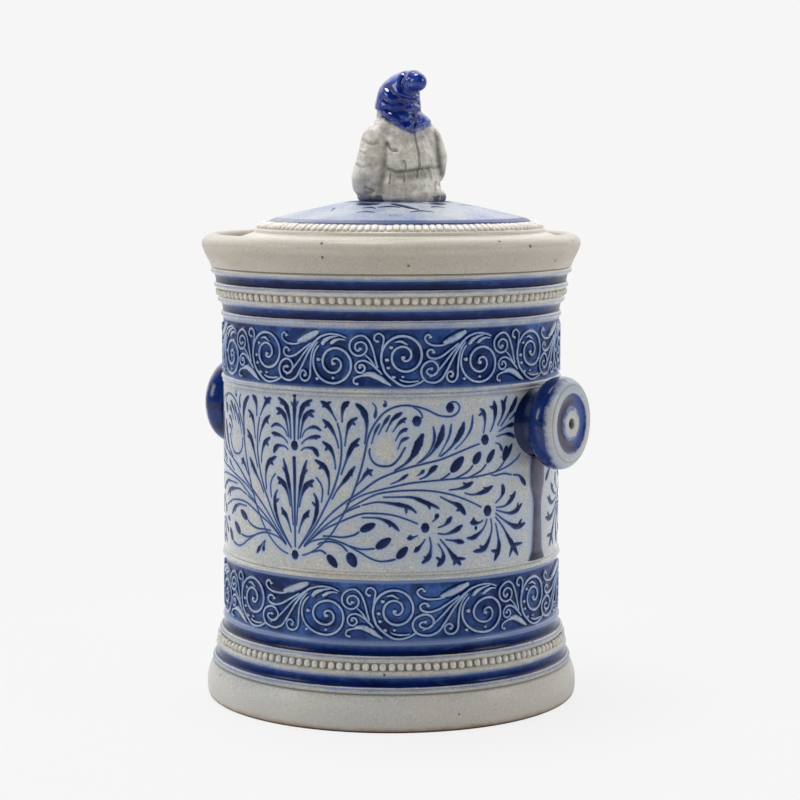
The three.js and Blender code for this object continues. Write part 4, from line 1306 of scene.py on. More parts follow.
def bead_row(name, number, radius, height, tilt, depth, rise, axis=(0.0, 0.0)):
    """A row of moulded beads: rounded blocks round an axis, each a little different."""
    start_alone()
    bead = sizes().bead_size
    bpy.ops.mesh.primitive_cube_add(size=1, scale=(bead, depth * bead, rise * bead))
    piece = bpy.context.object
    apply_place()
    with editing():
        bpy.ops.mesh.bevel(offset=BEAD_ROUNDING * bead, segments=2, affect="EDGES")
    piece.rotation_euler = (tilt, 0.0, 0.0)
    piece.location = (0.0, -radius * MM, height * MM)
    apply_place()
    with editing():
        bpy.ops.mesh.spin(steps=number - 1, dupli=True, angle=2 * math.pi * (number - 1) / number,
                          center=(0.0, 0.0, 0.0), axis=(0.0, 0.0, 1.0))
    points = points_of(piece)
    turn = np.arctan2(points[:, 0], -points[:, 1])
    index = np.round(turn * number / (2 * math.pi)).astype(int) % number
    uneven = np.random.default_rng(number).normal(0, BEAD_UNEVEN, (3, number))
    out = np.hypot(points[:, 0], points[:, 1]) + uneven[0, index]
    turn = turn + uneven[1, index] / radius
    lifted = points[:, 2] + uneven[2, index]
    move_points(piece, np.stack((out * np.sin(turn), -out * np.cos(turn), lifted), axis=1))
    piece.location = (axis[0] * MM, axis[1] * MM, 0.0)
    return settle(piece, name, RELIEF_ANGLE)


HANDLE_SIDES = 96
# Radius, and distance from the jar's axis
NECK_CURVE = ((13.2, 54.4), (12.3, 55.5), (11.3, 56.6), (10.5, 57.6), (10.1, 58.6), (10.15, 59.5),
              (10.6, DISC_BACK - 0.25), (11.3, DISC_BACK + 0.1))
# Radius, and distance from the disc's back
DISC_CURVE = ((10.4, 0.0), (12.4, 0.15), (13.7, 0.75), (14.55, 1.9), (15.0, 3.3), (15.1, 4.6), (14.95, 5.9),
              (14.45, 7.1), (13.6, 8.1), (12.9, 8.5))
DISC_MIDDLE = ((12.6, 8.5), (12.4, 8.62), (11.7, 8.8), (10.1, 8.8), (9.75, 8.7), (9.5, 8.3),
               (9.2, 8.1), (5.9, 8.1), (5.6, 8.25), (5.4, 8.6), (5.0, 8.75), (2.3, 8.8), (1.9, 8.7),
               (1.7, 8.4), (1.7, 3.2), (1.3, 2.9), (0.0, 2.8))
# Heights of a strap's ends, and its widths from the top down
STRAP_TOP = 84.2
STRAP_FOOT = PANEL_FOOT - 0.3
STRAP_WIDTHS = (9.0, 9.2, 9.2, 8.8, 6.2, 4.7, 4.9, 5.2, 5.5, 5.9, 6.6, 10.6)
STRAP_SECTION = both_halves(((-1.0, -0.3, -0.3, 0.0), (-1.0, 0.0, 0.15, 0.3), (-0.9, 0.0, 0.7, 0.8),
                             (-0.6, 0.0, 1.0, 1.0), (0.0, 0.0, 1.1, 1.0)))
HANDLES = (("right", 1), ("left", -1))


def make_handles():
    """Both spool handles, with their necks and the painted straps under them."""
    for name, side in HANDLES:
        lay = side * math.pi / 2
        centre = (0.0, 0.0, HANDLE_HEIGHT)
        line = smooth_line(NECK_CURVE, 0.4)
        outline = [(0.0, line[0][1]), *line, (0.0, line[-1][1])]
        neck = turned(f"{name}_neck", outline, HANDLE_SIDES, centre, lay)
        join_frame(neck, "jar", "cobalt_glaze", finish("neck_glaze", neck_finish), f"{name}_handle_neck")
        edge = [(0.0, 0.0), *smooth_line(DISC_CURVE, 0.4), *DISC_MIDDLE]
        outline = [(radius, DISC_BACK + out) for radius, out in edge]
        disc = turned(f"{name}_disc", outline, HANDLE_SIDES, centre, lay)
        join_frame(disc, "jar", "grey_stoneware", finish("handle_glaze", handle_finish),
                   f"{name}_handle_disc")
        drawing = Drawing(STRAP_SECTION, sizes().strap_relief / MM)
        drawing.stroke(((0.0, STRAP_TOP), (0.0, STRAP_FOOT)), STRAP_WIDTHS, gap=0.6, rounded=False)
        strap = drawing.made(f"{name}_strap", on_wall(WALL_RADIUS, lay))
        join_frame(strap, "jar", "cobalt_glaze", finish("strap_glaze", strap_finish))


# Lid

LID_SIDES = 256
# Radius and height: up under the cone, down the collar and out to the edge
LID_CURVE = ((0.0, 10.2), (15.0, 10.2), (38.6, 4.4), (40.3, 3.8), (41.0, 2.6), (41.0, -4.5),
             (41.5, -5.0), (44.2, -5.0), (44.8, -4.4), (44.8, -0.4), (45.2, 0.0))
# Distance in from the edge and height
LID_EDGE_CURVE = ((0.6, 0.0), (0.1, 0.4), (0.0, 1.0), (0.0, 2.5), (0.25, 3.1), (0.9, 3.5), (4.5, 4.75))
# Distance out from the bead row's outer side, or from the cone's foot, and height
LID_BEAD_BED = ((0.15, 5.05), (0.0, 5.5), (-0.1, 6.0), (-0.4, 6.3), (-2.6, 7.2), (-4.8, 8.4), (-5.15, 8.85))
CONE_CURVE = ((0.0, LID_CONE_FOOT), (-0.9, 9.4), (-6.0, 10.8), (-16.0, 13.05), (-24.0, 14.7), (-27.0, 15.2))
LID_BEAD_INSET = 2.4
LID_BEAD_HEIGHT = 7.35
LID_BEAD_TILT = math.radians(-62)
LID_MARK_WIDTH = 2.6
LID_MARK_RELIEF = 0.06
# Brush marks on the cone: shares of that width, then degrees round from -Y and distance from the axis
LID_MARKS = (
    ((0.8, 1.4, 1.4, 0.7), ((-12, 19.8), (-4, 20.2), (5, 20.4), (14, 19.8))),
    ((0.6, 1.2, 1.2, 0.5), ((24, 19.8), (32, 21.6), (39, 24.6), (46, 28.2))),
    ((0.3, 0.9, 0.3), ((15, 24.8), (24, 23.4), (34, 24.6))),
    ((0.3, 0.7, 0.3), ((4, 26.0), (10, 24.8), (16, 26.4))),
    ((0.3, 0.6, 0.3), ((38, 31.0), (46, 29.6), (54, 31.0))),
    ((0.2, 0.6, 0.2), ((6, 32.0), (12, 30.6), (19, 31.8))),
    ((0.6, 1.4, 0.6), ((62, 19.8), (71, 20.4), (81, 20.0))),
    ((0.3, 0.7, 0.3), ((56, 25.0), (62, 24.0), (69, 25.4))),
    ((0.2, 0.5, 0.2), ((-24, 26.0), (-18, 28.0), (-13, 31.5))),
    ((0.6, 0.6, 0.6), ((27.2, 35.4), (27.8, 35.5), (28.4, 35.4))),
    ((0.3, 0.9, 0.3), ((96, 22.0), (112, 23.5), (126, 27.0))),
    ((0.2, 0.6, 0.2), ((140, 24.0), (152, 26.5), (160, 31.0))),
    ((0.6, 1.2, 0.6), ((176, 19.8), (196, 20.5), (212, 24.0))),
    ((0.2, 0.6, 0.2), ((232, 27.0), (242, 29.0), (250, 33.0))),
    ((0.3, 0.9, 0.3), ((272, 22.0), (288, 21.0), (304, 23.5))),
)


def on_cone(along, outward, out):
    """A place on the lid's cone, for points drawn in degrees round from -Y and distance from its axis."""
    angle = math.radians(along)
    curve = [(LID_CONE_RADIUS + radius, height) for radius, height in CONE_CURVE][::-1]
    rise = np.interp(outward, *zip(*curve))
    return (LID_AXIS[0] + outward * math.sin(angle), LID_AXIS[1] - outward * math.cos(angle),
            LID_SEAT + rise + out)


def make_lid():
    """The lid with its bead row and the brush marks on its cone."""
    outline = [*LID_CURVE, *((LID_RADIUS - inset, height) for inset, height in LID_EDGE_CURVE)]
    outline += [(LID_BAND_RADIUS + radius, height) for radius, height in LID_BEAD_BED]
    outline += [(LID_CONE_RADIUS + radius, height) for radius, height in smooth_line(CONE_CURVE, 1.2)]
    outline.append((0.0, LID_BOSS_HEIGHT - 0.1))
    lid = turned("lid_dish", outline, LID_SIDES, (*LID_AXIS, LID_SEAT))
    join_frame(lid, "lid", "cream_stoneware", finish("lid_glaze", lid_finish), "lid")
    beads = bead_row("lid_beads", sizes().lid_beads, LID_BAND_RADIUS - LID_BEAD_INSET,
                     LID_SEAT + LID_BEAD_HEIGHT, LID_BEAD_TILT, *LID_BEAD, LID_AXIS)
    join_frame(beads, "lid", "cream_stoneware", finish("bead_clay", bead_finish))
    drawing = Drawing(STROKE_SECTION, LID_MARK_RELIEF)
    for widths, points in LID_MARKS:
        drawing.stroke(points, scaled(LID_MARK_WIDTH, widths), gap=1.0)
    marks = drawing.made("lid_marks", on_cone)
    join_frame(marks, "lid", "cream_stoneware", finish("stroke_glaze", stroke_finish))


# Figure

def limb(stations, gap=0.9):
    """Eggs along a limb whose stations are a place and a radius, or three radii."""
    eggs = []
    for (start, wide), (end, narrow) in zip(stations, stations[1:]):
        steps = max(1, int(math.dist(start, end) / gap))
        for share in np.linspace(0, 1, steps + 1):
            middle = np.array(start) + (np.array(end) - start) * share
            radii = np.broadcast_to(np.add(wide, np.subtract(narrow, wide) * share), 3)
            eggs.append((middle, radii))
    return eggs


def both_sides(eggs):
    """Eggs, and then the same eggs mirrored across the figure's middle."""
    return [*eggs, *((np.multiply(place, (-1, 1, 1)), radii) for place, radii in eggs)]


def add_egg(place, radii):
    """Adds one egg, as its own object or to the mesh that is being edited."""
    bpy.ops.mesh.primitive_uv_sphere_add(segments=20, ring_count=12, radius=MM,
                                         location=[value * MM for value in place], scale=radii)


def apply_modifier(piece, kind, **settings):
    """Adds a modifier to the active piece and applies it."""
    bpy.ops.object.modifier_add(type=kind)
    modifier = piece.modifiers[-1]
    for name, value in settings.items():
        setattr(modifier, name, value)
    bpy.ops.object.modifier_apply(modifier=modifier.name)


def reskin(piece, voxel, rounds):
    """Makes the active piece one even skin, and smooths it."""
    apply_modifier(piece, "REMESH", mode="VOXEL", voxel_size=voxel * MM)
    apply_modifier(piece, "SMOOTH", factor=0.5, iterations=rounds)


def lump(eggs, voxel, rounds):
    """Models eggs into one skin, as clay is pressed together."""
    start_alone()
    add_egg(*eggs[0])
    piece = bpy.context.object
    apply_place()
    with editing():
        for egg in eggs[1:]:
            add_egg(*egg)
    reskin(piece, voxel, rounds)
    return piece


def press_folds(piece, folds, right, towards, rise=1.0):
    """Presses folds into the side of a piece that faces one way, and gives their shade."""
    points = points_of(piece)
    normals = normals_of(piece)
    across = points @ right
    facing = ease(normals @ towards, -0.05, 0.4)
    push = np.zeros(len(points))
    shade = np.zeros(len(points))
    for depth, width, line in folds:
        gap = np.full(len(points), 99.0)
        for along, up in smooth_line(line, 0.3):
            gap = np.minimum(gap, np.hypot(across - along, points[:, 2] - up * rise))
        groove = np.exp(-(gap / width) ** 2)
        lips = max(0.0, 0.8 - width) * np.exp(-((gap - 1.8 * width) / width) ** 2)
        push += facing * depth * (lips - groove)
        shade = np.maximum(shade, facing * groove * np.clip(depth / 0.6, 0, 1))
    move_points(piece, points + normals * push[:, None])
    return shade


def cut_below(piece, normal, level, closed=False):
    """Cuts away what lies below a plane, and closes the cut where asked."""
    select_only(piece)
    direction = Vector(normal).normalized()
    with editing():
        bpy.ops.mesh.bisect(plane_co=direction * (level / Vector(normal).length * MM), plane_no=direction,
                            use_fill=closed, clear_inner=True)


def seat_figure(piece, name, crease_shade, tint):
    """Gives a piece of the figure its marks, and moves it from its own frame to its place on the lid."""
    carry(piece, "crease_shade", crease_shade)
    carry(piece, "tint", tint)
    select_only(piece)
    piece.rotation_euler = (0.0, 0.0, FIGURE_TURN)
    piece.location = (LID_AXIS[0] * MM, LID_AXIS[1] * MM, FIGURE_BASE * MM)
    settle(piece, name, FIGURE_ANGLE)


UP = (0.0, 0.0, 1.0)
COAT_FOOT = -1.4
# Voxel size and rounds of smoothing
COAT_SKIN = (0.26, 24)
LIMB_SKIN = (0.34, 5)
FACE_SKIN = (0.3, 4)
HOOD_SKIN = (0.3, 8)
OPENED_HOOD_SKIN = (0.26, 5)
FRONT_RIGHT = np.array((-1.0, 0.0, 0.0))
FRONT_TOWARDS = np.array((0.0, 1.0, 0.0))
# Planes that the hood's hem lies in: a direction across and up, and a level
HEM_PLANES = ((UP, 22.2), ((0.392, -0.15, 1.0), 23.75), ((0.55, -0.211, 1.0), 23.75),
              ((-0.467, 0.179, 1.0), 19.6))
# Middle and three radii of each egg
COAT_EGGS = [
    *limb((((-0.2, -0.3, 0.2), (14.5, 13.4, 3.5)), ((0.0, -0.2, 4.6), (13.8, 13.0, 3.5)),
           ((0.0, -0.3, 8.2), (12.6, 12.0, 3.0)), ((0.0, -0.4, 11.4), (12.5, 12.1, 3.0)),
           ((0.0, -0.3, 14.6), (12.0, 11.6, 3.5)), ((0.2, -0.2, 19.0), (10.2, 9.6, 3.5)),
           ((0.2, 0.0, 22.6), (8.2, 7.8, 3.5)), ((0.0, 0.2, 26.2), (6.4, 6.2, 3.0)))),
    ((3.6, -8.4, 0.4), (9.6, 6.4, 4.4)),
    *both_sides([((-6.2, 8.4, 4.6), (4.3, 5.2, 4.2))]),
    *limb((((-5.0, -0.4, 23.4), 4.2), ((-9.6, -2.4, 19.0), 4.8), ((-10.6, -3.2, 12.6), 5.6),
           ((-11.5, -2.4, 6.6), 6.3), ((-11.0, 1.6, 4.8), 5.2), ((-8.4, 8.6, 7.6), 3.6))),
    *limb((((5.4, -0.8, 23.2), 4.8), ((8.8, -1.2, 19.0), 5.5), ((11.0, -1.2, 13.6), 5.3),
           ((11.6, 1.0, 9.0), 5.0), ((8.4, 8.6, 8.2), 3.6))),
]
HAND_EGGS = [
    *limb((((-8.0, 9.2, 8.0), 2.5), ((-4.6, 11.4, 8.6), 2.2), ((-2.4, 11.9, 8.2), 1.6))),
    *limb((((8.0, 9.2, 8.6), 2.5), ((4.6, 11.6, 9.4), 2.2), ((2.2, 12.3, 9.6), 1.6))),
    *limb((((-4.4, 13.2, 7.4), 0.85), ((-3.4, 14.0, 5.4), 0.7))),
    *limb((((-5.8, 12.9, 7.2), 0.85), ((-5.4, 13.9, 5.4), 0.7))),
    *limb((((4.4, 13.2, 7.6), 0.85), ((3.6, 14.1, 5.6), 0.7))),
    *limb((((5.8, 12.9, 7.4), 0.85), ((5.6, 13.9, 5.6), 0.7))),
]
SHOE_EGGS = both_sides(limb((((-6.2, 10.0, 2.5), 2.5), ((-6.6, 14.6, 2.3), 2.3))))
HOOD_EGGS = [
    *limb((((-0.3, 1.0, 29.6), 7.9), ((-0.3, 0.4, 33.0), 7.3), ((0.2, -1.4, 35.8), 5.8),
           ((1.2, -4.6, 37.8), 4.5), ((2.0, -7.8, 38.7), 3.6), ((2.4, -9.8, 38.2), 3.2))),
    ((0.2, -2.4, 34.0), (5.8, 5.8, 4.6)),
    ((0.0, 0.2, 26.4), (8.3, 7.8, 5.0)),
    ((0.2, -0.2, 18.6), (11.2, 10.4, 7.0)),
    ((0.2, 0.0, 22.4), (8.8, 8.4, 6.0)),
    *limb((((-5.0, 0.0, 23.4), 4.9), ((-8.0, -0.4, 19.0), 5.5))),
    *limb((((5.4, -0.8, 23.2), 5.5), ((8.8, -1.2, 19.0), 6.2))),
]
HEM_TAPER = 0.75
FACE_OPENING = ((0.0, 10.6, 29.2), (5.4, 6.4, 6.6))
FACE_EGGS = [
    ((0.0, 2.0, 29.6), (5.9, 6.2, 6.8)),
    ((0.0, 8.0, 29.2), (1.3, 1.7, 1.5)),
    *limb((((0.0, 7.4, 31.4), 0.8), ((0.0, 8.0, 29.6), 1.0))),
    *both_sides([((-2.9, 6.5, 28.4), (1.9, 1.6, 1.7))]),
    *both_sides(limb((((-4.0, 6.6, 31.9), 0.7), ((-1.2, 7.6, 32.1), 0.7)))),
    *both_sides([((-2.3, 7.2, 30.8), (0.9, 0.6, 0.6))]),
    *limb((((0.0, 6.6, 25.6), 4.0), ((0.0, 8.2, 22.4), 3.0), ((0.0, 9.4, 19.8), 1.7))),
    *both_sides(limb((((-0.4, 8.6, 27.5), 1.0), ((-3.2, 7.6, 26.4), 0.8)))),
    *both_sides([((-5.2, 3.0, 27.4), (1.7, 3.0, 3.2))]),
]
# Depth, width, then points across and up the back as the photograph shows it
COAT_BACK_FOLDS = (
    (0.35, 1.3, ((-5.8, 21.0), (-4.8, 18.4), (-5.0, 15.0), (-5.2, 12.0), (-5.7, 8.5), (-6.1, 5.0),
                 (-6.0, 2.0))),
    (0.3, 1.5, ((-4.2, 8.2), (0.0, 7.4), (5.0, 7.6), (10.0, 8.4), (12.6, 8.6))),
    (0.3, 1.3, ((-5.4, 23.2), (-2.0, 21.4), (2.0, 19.6), (5.0, 20.2), (8.6, 22.4))),
    (0.45, 0.32, ((4.7, 22.5), (5.5, 18.2), (6.1, 15.0), (6.3, 10.1))),
    (0.65, 0.65, ((-4.2, 10.1), (-1.1, 9.0), (1.4, 9.2), (5.3, 9.7), (10.1, 10.3), (13.0, 10.1))),
    (0.4, 0.3, ((1.1, 12.7), (1.8, 11.4), (1.7, 9.6))),
    (0.45, 0.32, ((1.3, 8.9), (1.4, 6.0))),
    (0.4, 0.32, ((-3.1, 8.5), (-3.4, 5.0))),
    (0.4, 0.3, ((5.8, 9.8), (5.6, 7.2))),
    (0.4, 0.3, ((7.6, 9.8), (8.5, 7.2))),
    (0.4, 0.3, ((9.5, 9.8), (10.5, 6.6))),
    (0.35, 0.3, ((10.5, 13.7), (10.5, 10.8))),
    (0.4, 0.3, ((11.9, 5.6), (11.4, 2.7))),
    (0.5, 0.5, ((-4.3, 18.8), (-3.1, 16.6), (-1.1, 16.1))),
    (0.7, 0.9, ((12.1, 22.4), (12.6, 19.8), (13.0, 15.0), (13.4, 11.75), (14.3, 7.6))),
    (0.3, 0.3, ((-13.0, 16.0), (-11.5, 15.0))),
    (0.3, 0.35, ((-11.4, 3.7), (-8.5, 2.4))),
    (0.25, 0.3, ((7.6, 21.0), (7.2, 19.8))),
    (0.3, 0.5, ((-14.8, 11.6), (-12.6, 10.6), (-10.2, 11.2))),
    (0.3, 0.6, ((-12.5, 20.0), (-9.5, 18.4), (-7.4, 18.8))),
)
COAT_FRONT_FOLDS = (
    (0.5, 0.4, ((0.0, 20.0), (0.2, 14.0), (0.0, 6.0))),
    (0.5, 0.5, ((-9.0, 10.4), (-4.0, 9.6), (0.0, 9.4), (4.0, 9.6), (9.0, 10.4))),
    (0.4, 0.4, ((-3.0, 8.4), (-3.4, 5.0))),
    (0.4, 0.4, ((3.2, 8.4), (3.4, 5.0))),
    (0.7, 0.6, ((0.0, 8.0), (0.0, 1.0))),
    (0.5, 0.5, ((-8.0, 21.0), (-7.4, 16.0), (-8.2, 11.0))),
    (0.5, 0.5, ((8.0, 21.0), (7.4, 16.0), (8.2, 11.0))),
)
HOOD_FOLDS = (
    (0.8, 0.9, ((-4.4, 38.0), (-2.6, 35.9), (-0.3, 34.2), (3.9, 33.2), (7.2, 32.4))),
    (0.6, 0.8, ((-5.6, 34.0), (-3.0, 32.2), (0.2, 32.6), (2.4, 31.4))),
    (0.7, 0.8, ((-4.6, 30.4), (-2.0, 29.6), (0.6, 30.0), (3.0, 29.2), (5.6, 29.8))),
    (0.7, 0.7, ((1.4, 42.4), (0.2, 39.4), (0.8, 36.6), (3.4, 35.2), (6.4, 35.8))),
    (0.5, 0.8, ((4.4, 28.0), (5.0, 26.2), (4.6, 24.0))),
    (0.5, 0.8, ((-1.6, 28.4), (0.6, 27.0), (1.8, 25.4))),
)
FACE_FOLDS = (
    (0.3, 0.3, ((-3.0, 30.6), (-2.3, 30.9), (-1.5, 30.6))),
    (0.3, 0.3, ((3.0, 30.6), (2.3, 30.9), (1.5, 30.6))),
    (0.3, 0.35, ((-1.6, 25.4), (-1.8, 22.6), (-0.9, 20.4))),
    (0.3, 0.35, ((0.0, 25.0), (0.2, 22.4), (0.0, 19.8))),
    (0.3, 0.35, ((1.6, 25.4), (1.8, 22.6), (0.9, 20.4))),
    (0.25, 0.3, ((-1.4, 26.6), (0.0, 26.2), (1.4, 26.6))),
)


def hem_gap(points):
    """How far points lie above the hood's hem."""
    gaps = [(points @ np.array(normal) - level) / np.linalg.norm(normal) for normal, level in HEM_PLANES]
    return np.min(gaps, axis=0)


def coat_tint(points, normals):
    """Blue on the coat: glaze that ran under the hem and round the base, and a blue patch at an elbow."""
    across = points @ BACK_RIGHT
    sides = np.maximum(ease(-across, 3, 8), ease(across, 9, 12))
    base = ease(2.5 - points[:, 2], 0, 2.2) * (0.3 + 0.6 * sides)
    elbow = 0.5 * np.exp(-((across + 12.3) / 3.2) ** 2 - ((points[:, 2] - 5.0) / 2.8) ** 2)
    elbow = elbow * ease(normals @ BACK_TOWARDS, 0, 0.5)
    hem = 0.9 * (1 - ease(-hem_gap(points), 0.0, 2.4))
    return np.maximum(np.maximum(base, elbow), hem)


def make_figure():
    """The seated figure: coat, hands and shoes, face, and hood."""
    clothing = finish("coat_clay", coat_finish)
    coat = lump(COAT_EGGS, *COAT_SKIN)
    cut_below(coat, UP, COAT_FOOT, True)
    crease_shade = press_folds(coat, COAT_BACK_FOLDS, BACK_RIGHT, BACK_TOWARDS, BACK_RISE)
    crease_shade = np.maximum(crease_shade, press_folds(coat, COAT_FRONT_FOLDS, FRONT_RIGHT, FRONT_TOWARDS))
    tint = coat_tint(points_of(coat), normals_of(coat))
    seat_figure(coat, "figure_coat", crease_shade, tint)
    join_frame(coat, "lid", "cream_stoneware", clothing, "figure_body")
    for name, eggs in (("figure_hands", HAND_EGGS), ("figure_shoes", SHOE_EGGS)):
        limbs = lump(eggs, *LIMB_SKIN)
        cut_below(limbs, UP, 0.0, True)
        tint = 0.6 * ease(1.6 - points_of(limbs)[:, 2], 0, 1.4)
        seat_figure(limbs, name, np.zeros(len(tint)), tint)
        join_frame(limbs, "lid", "cream_stoneware", clothing)
    face = lump(FACE_EGGS, *FACE_SKIN)
    crease_shade = press_folds(face, FACE_FOLDS, FRONT_RIGHT, FRONT_TOWARDS)
    seat_figure(face, "figure_face", crease_shade, np.zeros(len(crease_shade)))
    join_frame(face, "lid", "cream_stoneware", clothing)
    hood = lump(HOOD_EGGS, *HOOD_SKIN)
    add_egg(*FACE_OPENING)
    cutter = bpy.context.object
    select_only(hood)
    apply_modifier(hood, "BOOLEAN", operation="DIFFERENCE", solver="EXACT", object=cutter)
    reskin(hood, *OPENED_HOOD_SKIN)
    bpy.data.objects.remove(cutter)
    for normal, level in HEM_PLANES:
        cut_below(hood, normal, level)
    crease_shade = press_folds(hood, HOOD_FOLDS, BACK_RIGHT, BACK_TOWARDS, BACK_RISE)
    points = points_of(hood)
    gap = hem_gap(points)
    hem = 1 - ease(gap, 0.0, 1.2)
    move_points(hood, points - normals_of(hood) * (HEM_TAPER * hem)[:, None])
    seat_figure(hood, "figure_hood", crease_shade, 1 - ease(gap, 0.0, 2.2))
    join_frame(hood, "lid", "cobalt_glaze", finish("hood_glaze", hood_finish), "figure_head")


# Stage

BACKGROUND = tone(246, 246, 246)
PAPER = (0.86, 0.86, 0.86, 1.0)
FLOOR_SIZE = 8.0
FLOOR_GLOW = 0.9
# How far from the jar the floor begins to brighten, and has the background's brightness
FLOOR_NEAR = 0.07
FLOOR_REACH = 0.3
WHITE = (1.0, 1.0, 1.0, 1.0)
# Strength of the tent behind the jar and on the camera's side, and of both as the glaze mirrors them
TENT_BRIGHT = 1.0
TENT_FILL = 0.34
TENT_GLARE = 2.4
TENT_DARK = 0.03
# Where the tent turns from one to the other, from the camera's side back, and the glare from below up
TENT_EDGE = (-0.2, 0.6)
GLARE_EDGE = (0.15, 0.5)
# Name, energy, size, and place to the right, towards the camera and up, in metres
LIGHTS = (
    ("top_light", 7.0, 0.4, (-0.15, -0.1, 1.25)),
    ("left_light", 4.0, 0.5, (-1.05, 0.35, 0.55)),
    ("right_light", 3.6, 0.45, (1.05, 0.35, 0.55)),
)


def floor_material():
    """Pale floor that keeps the jar's shadow but looks as bright as the background."""
    material = bpy.data.materials.new("floor_paper")
    material.use_nodes = True
    tree = material.node_tree
    tree.nodes.clear()
    seen = Shade(tree, tree.nodes.new("ShaderNodeLightPath").outputs["Is Camera Ray"])
    place = Shade(tree, tree.nodes.new("ShaderNodeTexCoord").outputs["Object"])
    far = place.node("ShaderNodeVectorMath", {"operation": "LENGTH"}, {0: place}, 1)
    far = far.step(FLOOR_NEAR, FLOOR_REACH)
    paper = seen.node("ShaderNodeBsdfDiffuse", {}, {"Color": PAPER})
    glow = seen.node("ShaderNodeEmission", {}, {"Color": BACKGROUND})
    glowing = seen * (far * (1 - FLOOR_GLOW) + FLOOR_GLOW)
    both = seen.node("ShaderNodeMixShader", {}, {0: glowing, 1: paper, 2: glow})
    both.node("ShaderNodeOutputMaterial", {}, {"Surface": both})
    return material


def make_stage():
    """Floor, background, lights and the photograph's camera."""
    start_alone()
    bpy.ops.mesh.primitive_plane_add(size=FLOOR_SIZE)
    floor = bpy.context.object
    floor.name = "floor"
    floor.data.materials.append(floor_material())
    right = Vector((math.cos(CAMERA_AZIMUTH), math.sin(CAMERA_AZIMUTH), 0.0))
    near = Vector((math.sin(CAMERA_AZIMUTH), -math.cos(CAMERA_AZIMUTH), 0.0))
    aim = Vector((0.0, 0.0, JAR_HEIGHT * MM / 2))
    for name, energy, size, (aside, towards, up) in LIGHTS:
        place = right * aside + near * towards + Vector((0.0, 0.0, up))
        turn = (place - aim).to_track_quat("Z", "Y").to_euler()
        bpy.ops.object.light_add(type="AREA", location=place, rotation=turn)
        light = bpy.context.object
        light.name = name
        light.data.energy = energy
        light.data.size = size
    place = near * (CAMERA_DISTANCE * MM) + Vector((0.0, 0.0, CAMERA_HEIGHT * MM))
    turn = (math.pi / 2 - CAMERA_DOWN, 0.0, CAMERA_AZIMUTH - CAMERA_ASIDE)
    bpy.ops.object.camera_add(location=place, rotation=turn)
    camera = bpy.context.object
    camera.data.lens = CAMERA_LENS
    scene = bpy.context.scene
    scene.camera = camera
    scene.view_settings.view_transform = "Standard"
    world = bpy.data.worlds.new("white_room")
    scene.world = world
    world.use_nodes = True
    tree = world.node_tree
    tree.nodes.clear()
    path = tree.nodes.new("ShaderNodeLightPath")
    seen = Shade(tree, path.outputs["Is Camera Ray"])
    mirrored = Shade(tree, path.outputs["Is Glossy Ray"])
    way = Shade(tree, tree.nodes.new("ShaderNodeTexCoord").outputs["Generated"])
    away = way.node("ShaderNodeVectorMath", {"operation": "DOT_PRODUCT"}, {0: way, 1: -near}, 1)
    dark = TENT_FILL + mirrored * (TENT_DARK - TENT_FILL)
    glare = mirrored * way.along(2).step(*GLARE_EDGE) * (TENT_GLARE - TENT_BRIGHT)
    tent = dark + away.step(*TENT_EDGE) * (glare + TENT_BRIGHT - dark)
    room = seen.node("ShaderNodeBackground", {}, {"Color": WHITE, "Strength": tent})
    behind = seen.node("ShaderNodeBackground", {}, {"Color": BACKGROUND})
    both = seen.node("ShaderNodeMixShader", {}, {0: seen, 1: room, 2: behind})
    both.node("ShaderNodeOutputWorld", {}, {"Surface": both})


# Operators

class PieceOperator:
    """What the operators share: one function that makes their pieces."""

    bl_options = {"REGISTER", "UNDO"}

    def execute(self, context):
        self.make()
        return {"FINISHED"}


class JAR_OT_wall(PieceOperator, bpy.types.Operator):
    """Turn the jar's body with its bands, ledge and chamber"""

    bl_idname = "tobacco_jar.wall"
    bl_label = "Jar Wall"

    def make(self):
        rows = jar_rows()
        wall = turned("jar_wall", [point[:2] for point in rows], sizes().jar_sides)
        mark_wall(wall, rows)
        join_frame(wall, "jar", "grey_stoneware", finish("jar_glaze", jar_finish), "jar_body")


class JAR_OT_beads(PieceOperator, bpy.types.Operator):
    """Set the bead rows above the foot and under the rim"""

    bl_idname = "tobacco_jar.beads"
    bl_label = "Bead Rows"

    def make(self):
        bare = finish("bead_clay", bead_finish)
        lower_lean = math.atan2(FOOT_RADIUS - WALL_RADIUS, LOWER_FRIEZE_FOOT - FOOT_HEIGHT)
        upper_lean = math.atan2(WALL_RADIUS - RIM_RADIUS, RIM_FOOT - UPPER_FRIEZE_FOOT - FRIEZE_HEIGHT)
        for name, number, place, lean in (
                ("lower_beads", sizes().lower_beads, LOWER_BEAD_ROW, lower_lean),
                ("upper_beads", sizes().upper_beads, UPPER_BEAD_ROW, upper_lean)):
            beads = bead_row(name, number, *place, -lean, *WALL_BEAD)
            join_frame(beads, "jar", "grey_stoneware", bare)


class JAR_OT_friezes(PieceOperator, bpy.types.Operator):
    """Mould the scrolls of both friezes"""

    bl_idname = "tobacco_jar.friezes"
    bl_label = "Frieze Scrolls"

    def make(self):
        relief = sizes().scroll_relief / MM
        for name, start, pitch, foot in (("lower_scrolls", LOWER_START, LOWER_PITCH, LOWER_FRIEZE_FOOT),
                                         ("upper_scrolls", UPPER_START, SCROLL_PITCH, UPPER_FRIEZE_FOOT)):
            drawing = Drawing(SCROLL_SECTION, relief)
            draw_frieze(drawing, start, pitch, foot - UPPER_FRIEZE_FOOT)
            scrolls = drawing.made(name, on_wall(WALL_RADIUS - FRIEZE_RECESS, reference=SCROLL_RADIUS))
            join_frame(scrolls, "jar", "grey_stoneware", finish("scroll_glaze", scroll_finish))


